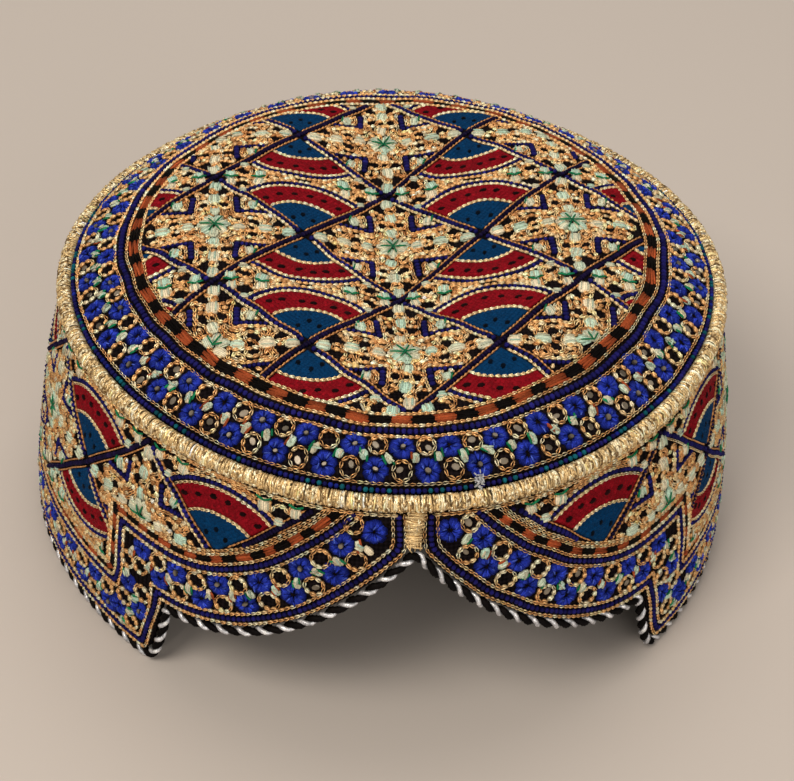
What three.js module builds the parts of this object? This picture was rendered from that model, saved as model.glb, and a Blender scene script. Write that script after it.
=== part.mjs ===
// Embroidered round cap with a stepped, arched front edge. Millimetres, +Z up, front towards -Y.
import * as THREE from "three";

// Overall sizes
const RIM_RADIUS = 83;
const FABRIC_DEPTH = 65.2;
const FLARE_LINEAR = 0.118;
const FLARE_BULGE = 0.1;
const CLOTH = 2;
const GAP = 0.3;

// Plan shape: the cap is drawn out a little at the folds, more at the front
const PLAN_EGG = 0.012;
const PLAN_OVAL = 0.022;
const PLAN_SQUARE = 0.01;

// The rim dips at the back, and the sides lean a little away from the front edge
const BACK_DIP = 3;
const LEAN_X = -1.8;
const LEAN_START = 0.75;
const LEAN_SPAN = 0.8;

// Crown dome with a valley along the fold
const DOME_RISE = 12.2;
const DOME_POWER = 6.4;
const VALLEY_DEPTH = 6.2;
const VALLEY_HALF_WIDTH = 25;
const VALLEY_POWER = 1.5;
const VALLEY_REACH = 0.9;
const SHOULDER_SWELL = 2.2;
const SHOULDER_REACH = 0.95;
const DIP_POWER = 14;

// Wound cord between crown and side
const RIM_CORD_FLAT_RADIUS = 2;
const CORD_SIDES = 8;

// Twisted cord along the lower edge
const HEM_CORD_FLAT_RADIUS = 1.4;

// Front edge, in degrees from the centre front and millimetres below the rim cord
const PEAK_DROP = 10.2;
const NOTCH_ANGLE = 39.5;
const NOTCH_DROP = 45;
const LOBE_POWER = 2;
const TIP_ANGLE = 43.6;
const TIP_POWER = 2;

// Seam strip at the centre front
const SEAM_WIDTH = 4.4;
const SEAM_PROUD = 0.5;

// Turned-down edge of the crown inside the side wall
const SKIRT_DEPTH = 5;
const SKIRT_THICKNESS = 1.6;

// Mesh steps
const CROWN_SEGMENTS = 72;
const WALL_ROWS = 6;
const BASE_STEP_DEG = 3.5;
const LOBE_STEPS = 13;
const TIP_STEPS = 7;
const HEM_BASE_STEP_DEG = 3.2;
const HEM_FRONT_STEP = 2.4;
const HEM_SHORT_STEP = 0.7;
const HEM_TURN_COSINE = 0.94;

const DEG = Math.PI / 180;
const HEM_OFFSET = GAP + HEM_CORD_FLAT_RADIUS;
const RIM_HEIGHT = FABRIC_DEPTH + HEM_OFFSET + HEM_CORD_FLAT_RADIUS;
const WALL_TOP_DROP = RIM_CORD_FLAT_RADIUS / Math.cos(Math.PI / CORD_SIDES) + GAP;
const SEAM_HALF_ANGLE = SEAM_WIDTH / 2 / RIM_RADIUS;
const SLOT_HALF_ANGLE = (SEAM_WIDTH / 2 + GAP) / RIM_RADIUS;

// Angle phi is zero at the centre front and grows towards +X
function planScale(phi) {
  const egg = PLAN_EGG * Math.cos(phi);
  return 1 + egg + PLAN_OVAL * Math.cos(2 * phi) + PLAN_SQUARE * Math.cos(4 * phi);
}

function rimRadius(phi) {
  return RIM_RADIUS * planScale(phi);
}

function dip(phi) {
  return BACK_DIP * Math.max(0, -Math.cos(phi)) ** 2;
}

function rimHeight(phi) {
  return RIM_HEIGHT - dip(phi);
}

function lean(phi) {
  const fromFront = Math.acos(Math.cos(phi));
  const w = Math.min(1, Math.max(0, (fromFront - LEAN_START) / LEAN_SPAN));
  return LEAN_X * w * w * (3 - 2 * w);
}

function place(phi, radius, z) {
  return new THREE.Vector3(radius * Math.sin(phi), -radius * Math.cos(phi), z);
}

function flare(drop) {
  const u = drop / FABRIC_DEPTH;
  return 1 + FLARE_LINEAR * u + FLARE_BULGE * u * (1 - u);
}

function wallPoint(phi, drop) {
  const u = drop / FABRIC_DEPTH;
  const point = place(phi, rimRadius(phi) * flare(drop), rimHeight(phi) - drop + dip(phi) * u);
  point.x += lean(phi) * u;
  return point;
}

function wallNormal(phi, drop) {
  const e = 0.01;
  const across = wallPoint(phi + e, drop).sub(wallPoint(phi - e, drop));
  const down = wallPoint(phi, drop + 0.5).sub(wallPoint(phi, drop - 0.5));
  return across.cross(down).normalize().negate();
}

function wallOffset(phi, drop, out) {
  return wallPoint(phi, drop).addScaledVector(wallNormal(phi, drop), out);
}

// Lower edge of the cloth as a drop below the rim for each angle
function edgeDrop(phi) {
  const wrapped = Math.atan2(Math.sin(phi), Math.cos(phi));
  const a = Math.abs(wrapped) / DEG;
  if (a <= NOTCH_ANGLE) {
    const rest = 1 - a / NOTCH_ANGLE;
    return NOTCH_DROP - (NOTCH_DROP - PEAK_DROP) * Math.pow(rest, LOBE_POWER);
  }
  if (a < TIP_ANGLE) {
    const rest = 1 - (a - NOTCH_ANGLE) / (TIP_ANGLE - NOTCH_ANGLE);
    return NOTCH_DROP + (FABRIC_DEPTH - NOTCH_DROP) * (1 - Math.pow(rest, TIP_POWER));
  }
  return FABRIC_DEPTH;
}

// Angles of one half from a start angle at the front round to the back
function halfAngles(start, baseStepDeg) {
  const list = [];
  for (let i = 0; i < LOBE_STEPS; i += 1) {
    list.push(start + ((NOTCH_ANGLE * DEG - start) * i) / LOBE_STEPS);
  }
  for (let i = 0; i < TIP_STEPS; i += 1) {
    const t = i / TIP_STEPS;
    list.push((NOTCH_ANGLE + (TIP_ANGLE - NOTCH_ANGLE) * t) * DEG);
  }
  const count = Math.round((180 - TIP_ANGLE) / baseStepDeg);
  for (let i = 0; i <= count; i += 1) {
    list.push((TIP_ANGLE + ((180 - TIP_ANGLE) * i) / count) * DEG);
  }
  return list;
}

function makeGeometry(points, faces) {
  const position = new Float32Array(points.length * 3);
  points.forEach((p, i) => {
    position[3 * i] = p.x;
    position[3 * i + 1] = p.y;
    position[3 * i + 2] = p.z;
  });
  let volume = 0;
  for (const [a, b, c] of faces) {
    const cross = new THREE.Vector3().crossVectors(points[b], points[c]);
    volume += points[a].dot(cross);
  }
  const flat = [];
  for (const [a, b, c] of faces) {
    if (volume > 0) {
      flat.push(a, b, c);
    } else {
      flat.push(a, c, b);
    }
  }
  const geometry = new THREE.BufferGeometry();
  geometry.setAttribute("position", new THREE.BufferAttribute(position, 3));
  geometry.setIndex(flat);
  geometry.computeVertexNormals();
  return geometry;
}

// Closed cloth panel between an outer and an inner face, columns by angle, rows top to bottom
function panel(angles, rows, outer, inner) {
  const points = [];
  const faces = [];
  const columns = angles.length;
  for (const side of [outer, inner]) {
    for (const phi of angles) {
      for (let j = 0; j <= rows; j += 1) {
        points.push(side(phi, j / rows));
      }
    }
  }
  const at = (side, i, j) => (side * columns + i) * (rows + 1) + j;
  const quad = (a, b, c, d) => {
    faces.push([a, b, c], [a, c, d]);
  };
  for (let i = 0; i < columns - 1; i += 1) {
    for (let j = 0; j < rows; j += 1) {
      quad(at(0, i, j), at(0, i, j + 1), at(0, i + 1, j + 1), at(0, i + 1, j));
      quad(at(1, i, j), at(1, i + 1, j), at(1, i + 1, j + 1), at(1, i, j + 1));
    }
    quad(at(0, i, 0), at(0, i + 1, 0), at(1, i + 1, 0), at(1, i, 0));
    quad(at(0, i, rows), at(1, i, rows), at(1, i + 1, rows), at(0, i + 1, rows));
  }
  const last = columns - 1;
  for (let j = 0; j < rows; j += 1) {
    quad(at(0, 0, j), at(1, 0, j), at(1, 0, j + 1), at(0, 0, j + 1));
    quad(at(0, last, j), at(0, last, j + 1), at(1, last, j + 1), at(1, last, j));
  }
  return makeGeometry(points, faces);
}

// Closed round cord along a loop of centre points, kept upright so that a flat faces down
function cordLoop(centres, outwards, flatRadius) {
  const count = centres.length;
  const radius = flatRadius / Math.cos(Math.PI / CORD_SIDES);
  const points = [];
  const faces = [];
  for (let i = 0; i < count; i += 1) {
    const next = centres[(i + 1) % count];
    const previous = centres[(i + count - 1) % count];
    const along = next.clone().sub(previous).normalize();
    const out = outwards[i].clone();
    out.addScaledVector(along, -out.dot(along)).normalize();
    const up = along.clone().cross(out).normalize();
    for (let k = 0; k < CORD_SIDES; k += 1) {
      const a = ((k + 0.5) / CORD_SIDES) * 2 * Math.PI;
      const p = centres[i].clone();
      p.addScaledVector(out, radius * Math.cos(a));
      p.addScaledVector(up, radius * Math.sin(a));
      points.push(p);
    }
  }
  for (let i = 0; i < count; i += 1) {
    const n = (i + 1) % count;
    for (let k = 0; k < CORD_SIDES; k += 1) {
      const m = (k + 1) % CORD_SIDES;
      const a = i * CORD_SIDES + k;
      const b = n * CORD_SIDES + k;
      const c = n * CORD_SIDES + m;
      const d = i * CORD_SIDES + m;
      faces.push([a, b, c], [a, c, d]);
    }
  }
  return makeGeometry(points, faces);
}

// Height of the crown's top face above the rim cord's centre
function crownRise(x, y) {
  const phi = Math.atan2(x, -y);
  const rho = Math.min(1, Math.hypot(x, y) / rimRadius(phi));
  const dome = DOME_RISE * (1 - Math.pow(rho, DOME_POWER));
  const valley = Math.exp(-Math.pow(Math.abs(x) / VALLEY_HALF_WIDTH, VALLEY_POWER));
  const fade = Math.max(0, 1 - (rho / VALLEY_REACH) ** 2);
  const bulge = Math.sin(Math.PI * Math.min(1, rho / SHOULDER_REACH)) ** 2;
  const swell = SHOULDER_SWELL * bulge * (1 - valley);
  return dome - VALLEY_DEPTH * valley * fade + swell - dip(phi) * Math.pow(rho, DIP_POWER);
}

function crownGeometry() {
  const rings = [];
  const topEdge = RIM_CORD_FLAT_RADIUS / Math.cos(Math.PI / CORD_SIDES) + GAP;
  const topSteps = [0.12, 0.24, 0.36, 0.48, 0.6, 0.71, 0.81, 0.89, 0.945];
  const surface = (phi, radius, lower) => {
    const x = radius * Math.sin(phi);
    const y = -radius * Math.cos(phi);
    const e = 0.5;
    const gx = (crownRise(x + e, y) - crownRise(x - e, y)) / (2 * e);
    const gy = (crownRise(x, y + e) - crownRise(x, y - e)) / (2 * e);
    const drop = lower ? CLOTH * Math.sqrt(1 + gx * gx + gy * gy) : 0;
    return place(phi, radius, RIM_HEIGHT + crownRise(x, y) - drop);
  };
  for (const step of topSteps) {
    rings.push((phi) => surface(phi, rimRadius(phi) * step, false));
  }
  rings.push((phi) => surface(phi, rimRadius(phi) - topEdge, false));
  const skirtSteps = [
    { drop: 0, inset: topEdge },
    { drop: 1.6, inset: topEdge - 0.4 },
    { drop: WALL_TOP_DROP, inset: null },
    { drop: SKIRT_DEPTH, inset: null },
  ];
  const skirtRadius = (phi, row, extra) => {
    if (row.inset !== null) {
      return rimRadius(phi) - row.inset - extra;
    }
    return rimRadius(phi) * flare(row.drop) - CLOTH - GAP - 0.1 - extra;
  };
  for (const row of skirtSteps) {
    rings.push((phi) => place(phi, skirtRadius(phi, row, 0), rimHeight(phi) - row.drop));
  }
  for (const row of [skirtSteps[3], skirtSteps[2]]) {
    const radius = (phi) => skirtRadius(phi, row, SKIRT_THICKNESS);
    rings.push((phi) => place(phi, radius(phi), rimHeight(phi) - row.drop));
  }
  for (const step of topSteps.slice().reverse()) {
    rings.push((phi) => surface(phi, rimRadius(phi) * step, true));
  }
  const points = [];
  const faces = [];
  const n = CROWN_SEGMENTS;
  for (const ring of rings) {
    for (let i = 0; i < n; i += 1) {
      points.push(ring((2 * Math.PI * i) / n));
    }
  }
  const top = points.length;
  points.push(new THREE.Vector3(0, 0, RIM_HEIGHT + crownRise(0, 0)));
  const bottom = points.length;
  points.push(new THREE.Vector3(0, 0, RIM_HEIGHT + crownRise(0, 0) - CLOTH));
  for (let i = 0; i < n; i += 1) {
    const m = (i + 1) % n;
    faces.push([top, i, m]);
    for (let r = 0; r < rings.length - 1; r += 1) {
      const a = r * n + i;
      const b = (r + 1) * n + i;
      const c = (r + 1) * n + m;
      const d = r * n + m;
      faces.push([a, b, c], [a, c, d]);
    }
    const base = (rings.length - 1) * n;
    faces.push([bottom, base + m, base + i]);
  }
  return makeGeometry(points, faces);
}

function bandGeometry() {
  const half = halfAngles(SLOT_HALF_ANGLE, BASE_STEP_DEG);
  const back = half.slice(0, -1).reverse().map((a) => 2 * Math.PI - a);
  const angles = half.concat(back);
  const drop = (phi, t) => WALL_TOP_DROP + (edgeDrop(phi) - WALL_TOP_DROP) * t;
  const outer = (phi, t) => wallPoint(phi, drop(phi, t));
  const inner = (phi, t) => wallOffset(phi, drop(phi, t), -CLOTH);
  return panel(angles, WALL_ROWS, outer, inner);
}

function seamGeometry() {
  const steps = 4;
  const angles = [];
  for (let i = 0; i <= steps; i += 1) {
    angles.push(SEAM_HALF_ANGLE * ((2 * i) / steps - 1));
  }
  const drop = (phi, t) => WALL_TOP_DROP + (edgeDrop(phi) - WALL_TOP_DROP) * t;
  const round = (phi) => SEAM_PROUD * (1 - (phi / SEAM_HALF_ANGLE) ** 2);
  const outer = (phi, t) => wallOffset(phi, drop(phi, t), round(phi));
  const inner = (phi, t) => wallOffset(phi, drop(phi, t), -CLOTH);
  return panel(angles, 4, outer, inner);
}

function rimCordGeometry() {
  const centres = [];
  const outwards = [];
  for (let i = 0; i < CROWN_SEGMENTS; i += 1) {
    const phi = (2 * Math.PI * i) / CROWN_SEGMENTS;
    centres.push(place(phi, rimRadius(phi), rimHeight(phi)));
    outwards.push(place(phi, 1, 0));
  }
  return cordLoop(centres, outwards, RIM_CORD_FLAT_RADIUS);
}

// Points of the cloth's lower edge at mid thickness, with the direction away from the cloth
function hemLine(fineAngles) {
  const line = [];
  for (const phi of fineAngles) {
    const e = 0.0008;
    const mid = (a) => wallOffset(a, edgeDrop(a), -CLOTH / 2);
    const along = mid(phi + e).sub(mid(phi - e)).normalize();
    const normal = wallNormal(phi, edgeDrop(phi));
    const away = along.clone().cross(normal).normalize();
    if (away.z > 0 && Math.abs(away.z) > Math.abs(along.z)) {
      away.negate();
    }
    line.push({ phi, edge: mid(phi), away, normal });
  }
  return line;
}

function hemCordGeometry() {
  const fine = [];
  const addSpan = (from, to, count) => {
    for (let i = 0; i < count; i += 1) {
      fine.push((from + ((to - from) * i) / count) * DEG);
    }
  };
  addSpan(0.05, NOTCH_ANGLE, 160);
  addSpan(NOTCH_ANGLE, TIP_ANGLE, 60);
  addSpan(TIP_ANGLE, 180, 200);
  const mirrored = fine.slice().reverse().map((a) => 2 * Math.PI - a);
  const line = hemLine(fine.concat([Math.PI], mirrored));
  // Where the edge turns inwards the offset would cross itself, so those points are dropped
  const kept = line.map((item) => {
    const centre = item.edge.clone().addScaledVector(item.away, HEM_OFFSET);
    return { centre, normal: item.normal, away: item.away };
  }).filter((item) => {
    let nearest = Infinity;
    for (const other of line) {
      nearest = Math.min(nearest, other.edge.distanceToSquared(item.centre));
    }
    return Math.sqrt(nearest) > HEM_OFFSET - 0.03;
  });
  for (const item of kept) {
    item.centre.z = Math.max(item.centre.z, HEM_CORD_FLAT_RADIUS);
  }
  // Even steps along the kept line, shorter ones round the front
  const loop = kept.length;
  const picked = [];
  let travelled = 0;
  for (let i = 0; i < loop; i += 1) {
    const item = kept[i];
    const low = item.centre.z < HEM_CORD_FLAT_RADIUS + 0.02;
    const reach = low ? RIM_RADIUS * HEM_BASE_STEP_DEG * DEG : HEM_FRONT_STEP;
    const before = kept[(i + loop - 1) % loop];
    travelled += item.centre.distanceTo(before.centre);
    const last = picked[picked.length - 1];
    const turned = i > 0 && last.away.dot(item.away) < HEM_TURN_COSINE && travelled > HEM_SHORT_STEP;
    if (i === 0 || travelled >= reach || turned) {
      picked.push({ centre: item.centre.clone(), normal: item.normal, away: item.away });
      travelled = 0;
    }
  }
  // Two rounds of easing soften the inward corners, always away from the cloth
  const count = picked.length;
  for (let round = 0; round < 2; round += 1) {
    const eased = picked.map((item, i) => {
      const a = picked[(i + count - 1) % count].centre;
      const b = picked[(i + 1) % count].centre;
      const shift = a.clone().add(b).multiplyScalar(0.5).sub(item.centre);
      const low = item.centre.z < HEM_CORD_FLAT_RADIUS + 0.02;
      const held = low || shift.dot(item.away) < 0;
      return item.centre.clone().addScaledVector(shift, held ? 0 : 0.35);
    });
    picked.forEach((item, i) => {
      item.centre.copy(eased[i]);
    });
  }
  const centres = picked.map((item) => item.centre);
  const outwards = picked.map((item) => new THREE.Vector3(item.normal.x, item.normal.y, 0).normalize());
  return cordLoop(centres, outwards, HEM_CORD_FLAT_RADIUS);
}

const cap = new THREE.Group();
cap.name = "embroidered_cap";

function add(name, geometry, color, roughness, metalness) {
  const material = new THREE.MeshStandardMaterial({ color, roughness, metalness });
  material.name = name;
  const mesh = new THREE.Mesh(geometry, material);
  mesh.name = name;
  cap.add(mesh);
}

add("crown", crownGeometry(), 0xc59a5e, 0.85, 0);
add("side_band", bandGeometry(), 0xb98f58, 0.85, 0);
add("rim_cord", rimCordGeometry(), 0xd6b878, 0.6, 0.1);
add("front_seam", seamGeometry(), 0xd6b878, 0.6, 0.1);
add("hem_cord", hemCordGeometry(), 0x222226, 0.7, 0);

// The origin lies at the middle of the footprint, on the surface that the cap stands on
const box = new THREE.Box3().setFromObject(cap);
const middle = box.getCenter(new THREE.Vector3());
for (const mesh of cap.children) {
  mesh.geometry.translate(-middle.x, -middle.y, -box.min.z);
}

export default cap;
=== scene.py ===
"""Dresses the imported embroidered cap: black ground cloth, stitched patterns, mirrors and cord trims."""
import math

import bmesh
import bpy
import numpy as np
from mathutils import Matrix, Vector


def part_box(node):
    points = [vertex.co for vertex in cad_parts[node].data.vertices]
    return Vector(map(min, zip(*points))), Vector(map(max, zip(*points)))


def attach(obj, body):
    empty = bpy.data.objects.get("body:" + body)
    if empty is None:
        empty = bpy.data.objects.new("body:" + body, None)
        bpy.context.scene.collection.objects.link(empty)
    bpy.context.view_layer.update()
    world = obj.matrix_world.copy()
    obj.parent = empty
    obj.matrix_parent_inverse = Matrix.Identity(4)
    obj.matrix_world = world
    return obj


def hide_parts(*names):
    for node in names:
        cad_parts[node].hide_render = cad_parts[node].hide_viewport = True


bl_info = {
    "name": "Embroidered cap",
    "version": (1, 0, 0),
    "blender": (4, 5, 0),
    "location": "3D View > Sidebar > Cap",
    "description": "Sews the cap's cloth, thread, mirrors and cords over its solids",
    "category": "Object",
}

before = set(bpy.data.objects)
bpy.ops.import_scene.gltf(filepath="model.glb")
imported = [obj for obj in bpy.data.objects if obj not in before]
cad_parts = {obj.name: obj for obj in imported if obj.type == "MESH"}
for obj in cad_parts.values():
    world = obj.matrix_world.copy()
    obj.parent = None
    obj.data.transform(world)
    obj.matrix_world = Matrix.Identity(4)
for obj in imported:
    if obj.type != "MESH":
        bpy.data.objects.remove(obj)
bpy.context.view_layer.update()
BODY = "root"
MM = 0.001

# Plan shape and wall of the cap; lengths are in millimetres and angles in radians from the centre front
PLAN_EGG = 0.012
PLAN_OVAL = 0.022
PLAN_SQUARE = 0.01
CORD_HALF = 2.0
CORD_CORNER = CORD_HALF / math.cos(math.pi / 8)
RIM_LOW, RIM_HIGH = (np.array(corner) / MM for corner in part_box("rim_cord"))
CENTRE_X = (RIM_LOW[0] + RIM_HIGH[0]) / 2
RIM_RADIUS = ((RIM_HIGH[0] - RIM_LOW[0]) / 2 - CORD_CORNER) / (1 - PLAN_OVAL + PLAN_SQUARE)
CENTRE_Y = (RIM_LOW[1] + RIM_HIGH[1]) / 2 + RIM_RADIUS * PLAN_EGG
RIM_HEIGHT = RIM_HIGH[2] - CORD_HALF
DEPTH = 65.2
FLARE = 0.118
BULGE = 0.1
BACK_DIP = 3.0
LEAN = -1.8
LEAN_START = 0.75
LEAN_SPAN = 0.8
CLOTH = 2.0
GAP = 0.3
SEWN = 0.45
GROUND_CLOTH = CLOTH - SEWN
WALL_TOP = CORD_CORNER + GAP

# Crown dome with a valley along the front to back fold
DOME_RISE = 12.2
DOME_POWER = 6.4
VALLEY_DEPTH = 6.2
VALLEY_HALF_WIDTH = 25.0
VALLEY_POWER = 1.5
VALLEY_REACH = 0.9
SHOULDER_SWELL = 2.2
SHOULDER_REACH = 0.95
DIP_POWER = 14

# Lower edge: two lobes that meet at the centre front, a step down to each tip, then level
PEAK_DROP = 10.2
NOTCH_DEG = 39.5
NOTCH_DROP = 45.0
TIP_DEG = 43.6
HEM_HALF = 1.4
SEAM_WIDTH = 4.4
SEAM_SIDE = 3.6
SEAM_LINE = 1.6

# Pattern lengths: one degree round the wall is this many millimetres of pattern
ARC_MM = 1.54
TURN_MM = 360 * ARC_MM
FIELD_RHO = 0.762
BORDER_DEPTH = 19.9
CELL = 22.2

# Clearance of border lines, of the field and of border flowers below the wall's top
LINE_CLEAR = 0.4
FIELD_CLEAR = 0.2
FLOWER_CLEAR = 1.6

# Clearance of border flowers from the front seam, and of lines and knots from the field's edge
SEAM_CLEAR = 5.8
LINE_CLIP = 0.3
KNOT_CLIP = 0.6


def rim_radius(phi):
    """Radius of the rim, which is a little egg-shaped, oval and squared."""
    egg = 1 + PLAN_EGG * np.cos(phi)
    return RIM_RADIUS * (egg + PLAN_OVAL * np.cos(2 * phi) + PLAN_SQUARE * np.cos(4 * phi))


def dip(phi):
    """How far the rim sinks towards the back."""
    return BACK_DIP * np.clip(-np.cos(phi), 0, 1) ** 2


def flare(drop):
    """Growth of the wall's radius below the rim."""
    u = drop / DEPTH
    return 1 + FLARE * u + BULGE * u * (1 - u)


def even_angles(count):
    """Angles at even steps once round."""
    return np.linspace(0, 2 * np.pi, count + 1)[:-1]


def unit(vectors):
    """Vectors of the same directions with length one."""
    return vectors / np.linalg.norm(vectors, axis=-1)[..., None]


def round_middle(phi, radius, drop=0.0):
    """Points at a radius round the cap's middle, at a drop below the centre line of the rim cord."""
    height = RIM_HEIGHT - dip(phi) - drop
    return np.stack([CENTRE_X + radius * np.sin(phi), CENTRE_Y - radius * np.cos(phi), height], 1)


def wall(phi, drop):
    """Outer face of the ground cloth of the side wall; the stitches on it reach the solid's face."""
    u = drop / DEPTH
    w = np.clip((np.arccos(np.cos(phi)) - LEAN_START) / LEAN_SPAN, 0, 1)
    lean = LEAN * w * w * (3 - 2 * w)
    radius = rim_radius(phi) * flare(drop) - SEWN
    x = CENTRE_X + radius * np.sin(phi) + lean * u
    y = CENTRE_Y - radius * np.cos(phi)
    z = RIM_HEIGHT - dip(phi) * (1 - u) - drop
    return np.stack([x, y, z], axis=-1)


def crown_rise(x, y):
    """Height of the crown's top face above the rim cord's centre, at a place measured from the middle."""
    phi = np.arctan2(x, -y)
    rho = np.minimum(1, np.hypot(x, y) / rim_radius(phi))
    dome = DOME_RISE * (1 - rho**DOME_POWER)
    valley = np.exp(-((np.abs(x) / VALLEY_HALF_WIDTH) ** VALLEY_POWER))
    fade = np.clip(1 - (rho / VALLEY_REACH) ** 2, 0, 1)
    bulge = np.sin(np.pi * np.minimum(1, rho / SHOULDER_REACH)) ** 2
    swell = SHOULDER_SWELL * bulge * (1 - valley)
    return dome - VALLEY_DEPTH * valley * fade + swell - dip(phi) * rho**DIP_POWER


def ripple(u, v, amount):
    """Small soft unevenness of hand-worked cloth."""
    first = np.sin(u * 0.23 + 1.3 * np.sin(v * 0.11)) * np.cos(v * 0.19 + 0.7)
    second = np.sin(u * 0.41 - v * 0.37 + 2.1) * 0.5
    return amount * (first + second)


def crown_place(uv):
    """Crown pattern coordinates, straight plan millimetres from the middle, to a point in space."""
    u, v = uv[..., 0], uv[..., 1]
    hold = 1 - np.clip(np.hypot(u, v) / RIM_RADIUS, 0, 1) ** 8
    x = u + hold * ripple(v, u, 0.34)
    y = v + hold * ripple(u, v + 31, 0.34)
    z = RIM_HEIGHT - SEWN + crown_rise(x, y) + hold * ripple(u * 0.7, v * 0.7, 0.16)
    return np.stack([CENTRE_X + x, CENTRE_Y + y, z], axis=-1)


def wall_place(uv):
    """Wall pattern coordinates, millimetres round from the centre front and up from the rim, to a point."""
    u, v = uv[..., 0], uv[..., 1]
    phi = np.radians((u + ripple(v, u, 0.32)) / ARC_MM)
    return wall(phi, -v)


def wrap_degrees(u):
    """Degrees away from the centre front, 0 to 180, for a pattern place round the wall."""
    return np.abs((u / ARC_MM + 180) % 360 - 180)


def edge_drop(phi):
    """Lower edge of the cloth as a drop below the rim."""
    a = np.degrees(np.arccos(np.clip(np.cos(phi), -1, 1)))
    lobe = NOTCH_DROP - (NOTCH_DROP - PEAK_DROP) * np.clip(1 - a / NOTCH_DEG, 0, 1) ** 2
    down = np.clip((a - NOTCH_DEG) / (TIP_DEG - NOTCH_DEG), 0, 1)
    return np.where(a <= NOTCH_DEG, lobe, NOTCH_DROP + (DEPTH - NOTCH_DROP) * (1 - (1 - down) ** 2))


def step_edge(drop):
    """How far round, in pattern millimetres, the stepped edge lies at a drop."""
    down = np.clip((drop - NOTCH_DROP) / (DEPTH - NOTCH_DROP), 0, 1)
    return ARC_MM * (NOTCH_DEG + (TIP_DEG - NOTCH_DEG) * (1 - np.sqrt(1 - down)))


LOBE_DEG = np.linspace(-3, NOTCH_DEG, 90)
LOBE_DROP = NOTCH_DROP - (NOTCH_DROP - PEAK_DROP) * (1 - LOBE_DEG / NOTCH_DEG) ** 2
LOBE_LINE = np.stack([LOBE_DEG * ARC_MM, -LOBE_DROP], 1)


def from_edge(uv):
    """Distance of a place on the wall from the cloth's lower edge, square at the step."""
    x = wrap_degrees(uv[..., 0]) * ARC_MM
    drop = -uv[..., 1]
    lobe = NOTCH_DROP - drop
    near = x < ARC_MM * NOTCH_DEG
    points = np.stack([x[near], -drop[near]], 1)
    gap = np.sqrt(np.min([((points - spot) ** 2).sum(1) for spot in LOBE_LINE], axis=0))
    under = drop[near] > np.interp(x[near], LOBE_LINE[:, 0], -LOBE_LINE[:, 1])
    lobe[near] = np.where(under, -gap, gap)
    side = np.minimum(x - step_edge(drop), DEPTH - drop)
    return np.maximum(lobe, side)


def edge_line(offset, whole=True):
    """Path at a distance inside the lower edge, from the centre front to the back, or all the way round."""
    slope = unit(np.gradient(LOBE_LINE, axis=0))
    lobe = LOBE_LINE + offset * np.stack([-slope[:, 1], slope[:, 0]], 1)
    beside = offset < SEAM_SIDE
    start = SEAM_LINE + offset if beside else SEAM_WIDTH / 2
    top = -WALL_TOP - LINE_CLEAR
    lobe = lobe[(lobe[:, 0] > start) & (lobe[:, 1] < top)]
    if beside:
        climb = np.linspace(top, lobe[0, 1], 8)[:-1]
        lobe = np.vstack([np.stack([np.full(7, start), climb], 1), lobe])
    drops = np.linspace(NOTCH_DROP - offset, DEPTH - offset, 24)
    step = np.stack([step_edge(drops) + offset, -drops], 1)
    base_u = np.linspace(step[-1, 0] + 1, TURN_MM / 2, 200)
    base = np.stack([base_u, np.full(200, offset - DEPTH)], 1)
    half = np.vstack([lobe, step, base])
    return np.vstack([half, mirrored(half)[-2::-1]]) if whole else half


def mirrored(path):
    """The same path on the other side of the centre front, in pattern millimetres round the wall."""
    return path * (-1, 1) + (TURN_MM, 0)


def ring_line(rho):
    """Closed path round the crown at a share of the rim's radius."""
    phi = even_angles(360)
    radius = rho * rim_radius(phi)
    return np.stack([radius * np.sin(phi), -radius * np.cos(phi)], 1)


def crown_inside(uv):
    """Margin in millimetres inside the crown's inner field."""
    u, v = uv[..., 0], uv[..., 1]
    return FIELD_RHO * rim_radius(np.arctan2(u, -v)) - np.hypot(u, v)


def wall_inside(uv):
    """Margin in millimetres inside the wall's upper field."""
    return np.minimum(from_edge(uv) - BORDER_DEPTH, -uv[..., 1] - WALL_TOP - FIELD_CLEAR)


def run_along(points):
    """Length along a path at each of its points."""
    return np.concatenate([[0], np.cumsum(np.linalg.norm(np.diff(points, axis=0), axis=1))])


def at_marks(marks, run, values):
    """Values along a path, read at marks of its length."""
    return np.stack([np.interp(marks, run, values[:, k]) for k in range(values.shape[1])], 1)


def looped(path, closed=True):
    """Path with its first point again at the end when it is closed."""
    return np.vstack([path, path[:1]]) if closed else np.asarray(path, float)


def even_steps(path, step, closed=False):
    """Middles and directions of even steps along a path."""
    points = looped(path, closed)
    run = run_along(points)
    marks = np.linspace(0, run[-1], max(1, round(run[-1] / step)) + 1)
    at = at_marks(marks, run, points)
    return (at[1:] + at[:-1]) / 2, at[1:] - at[:-1]


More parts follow.
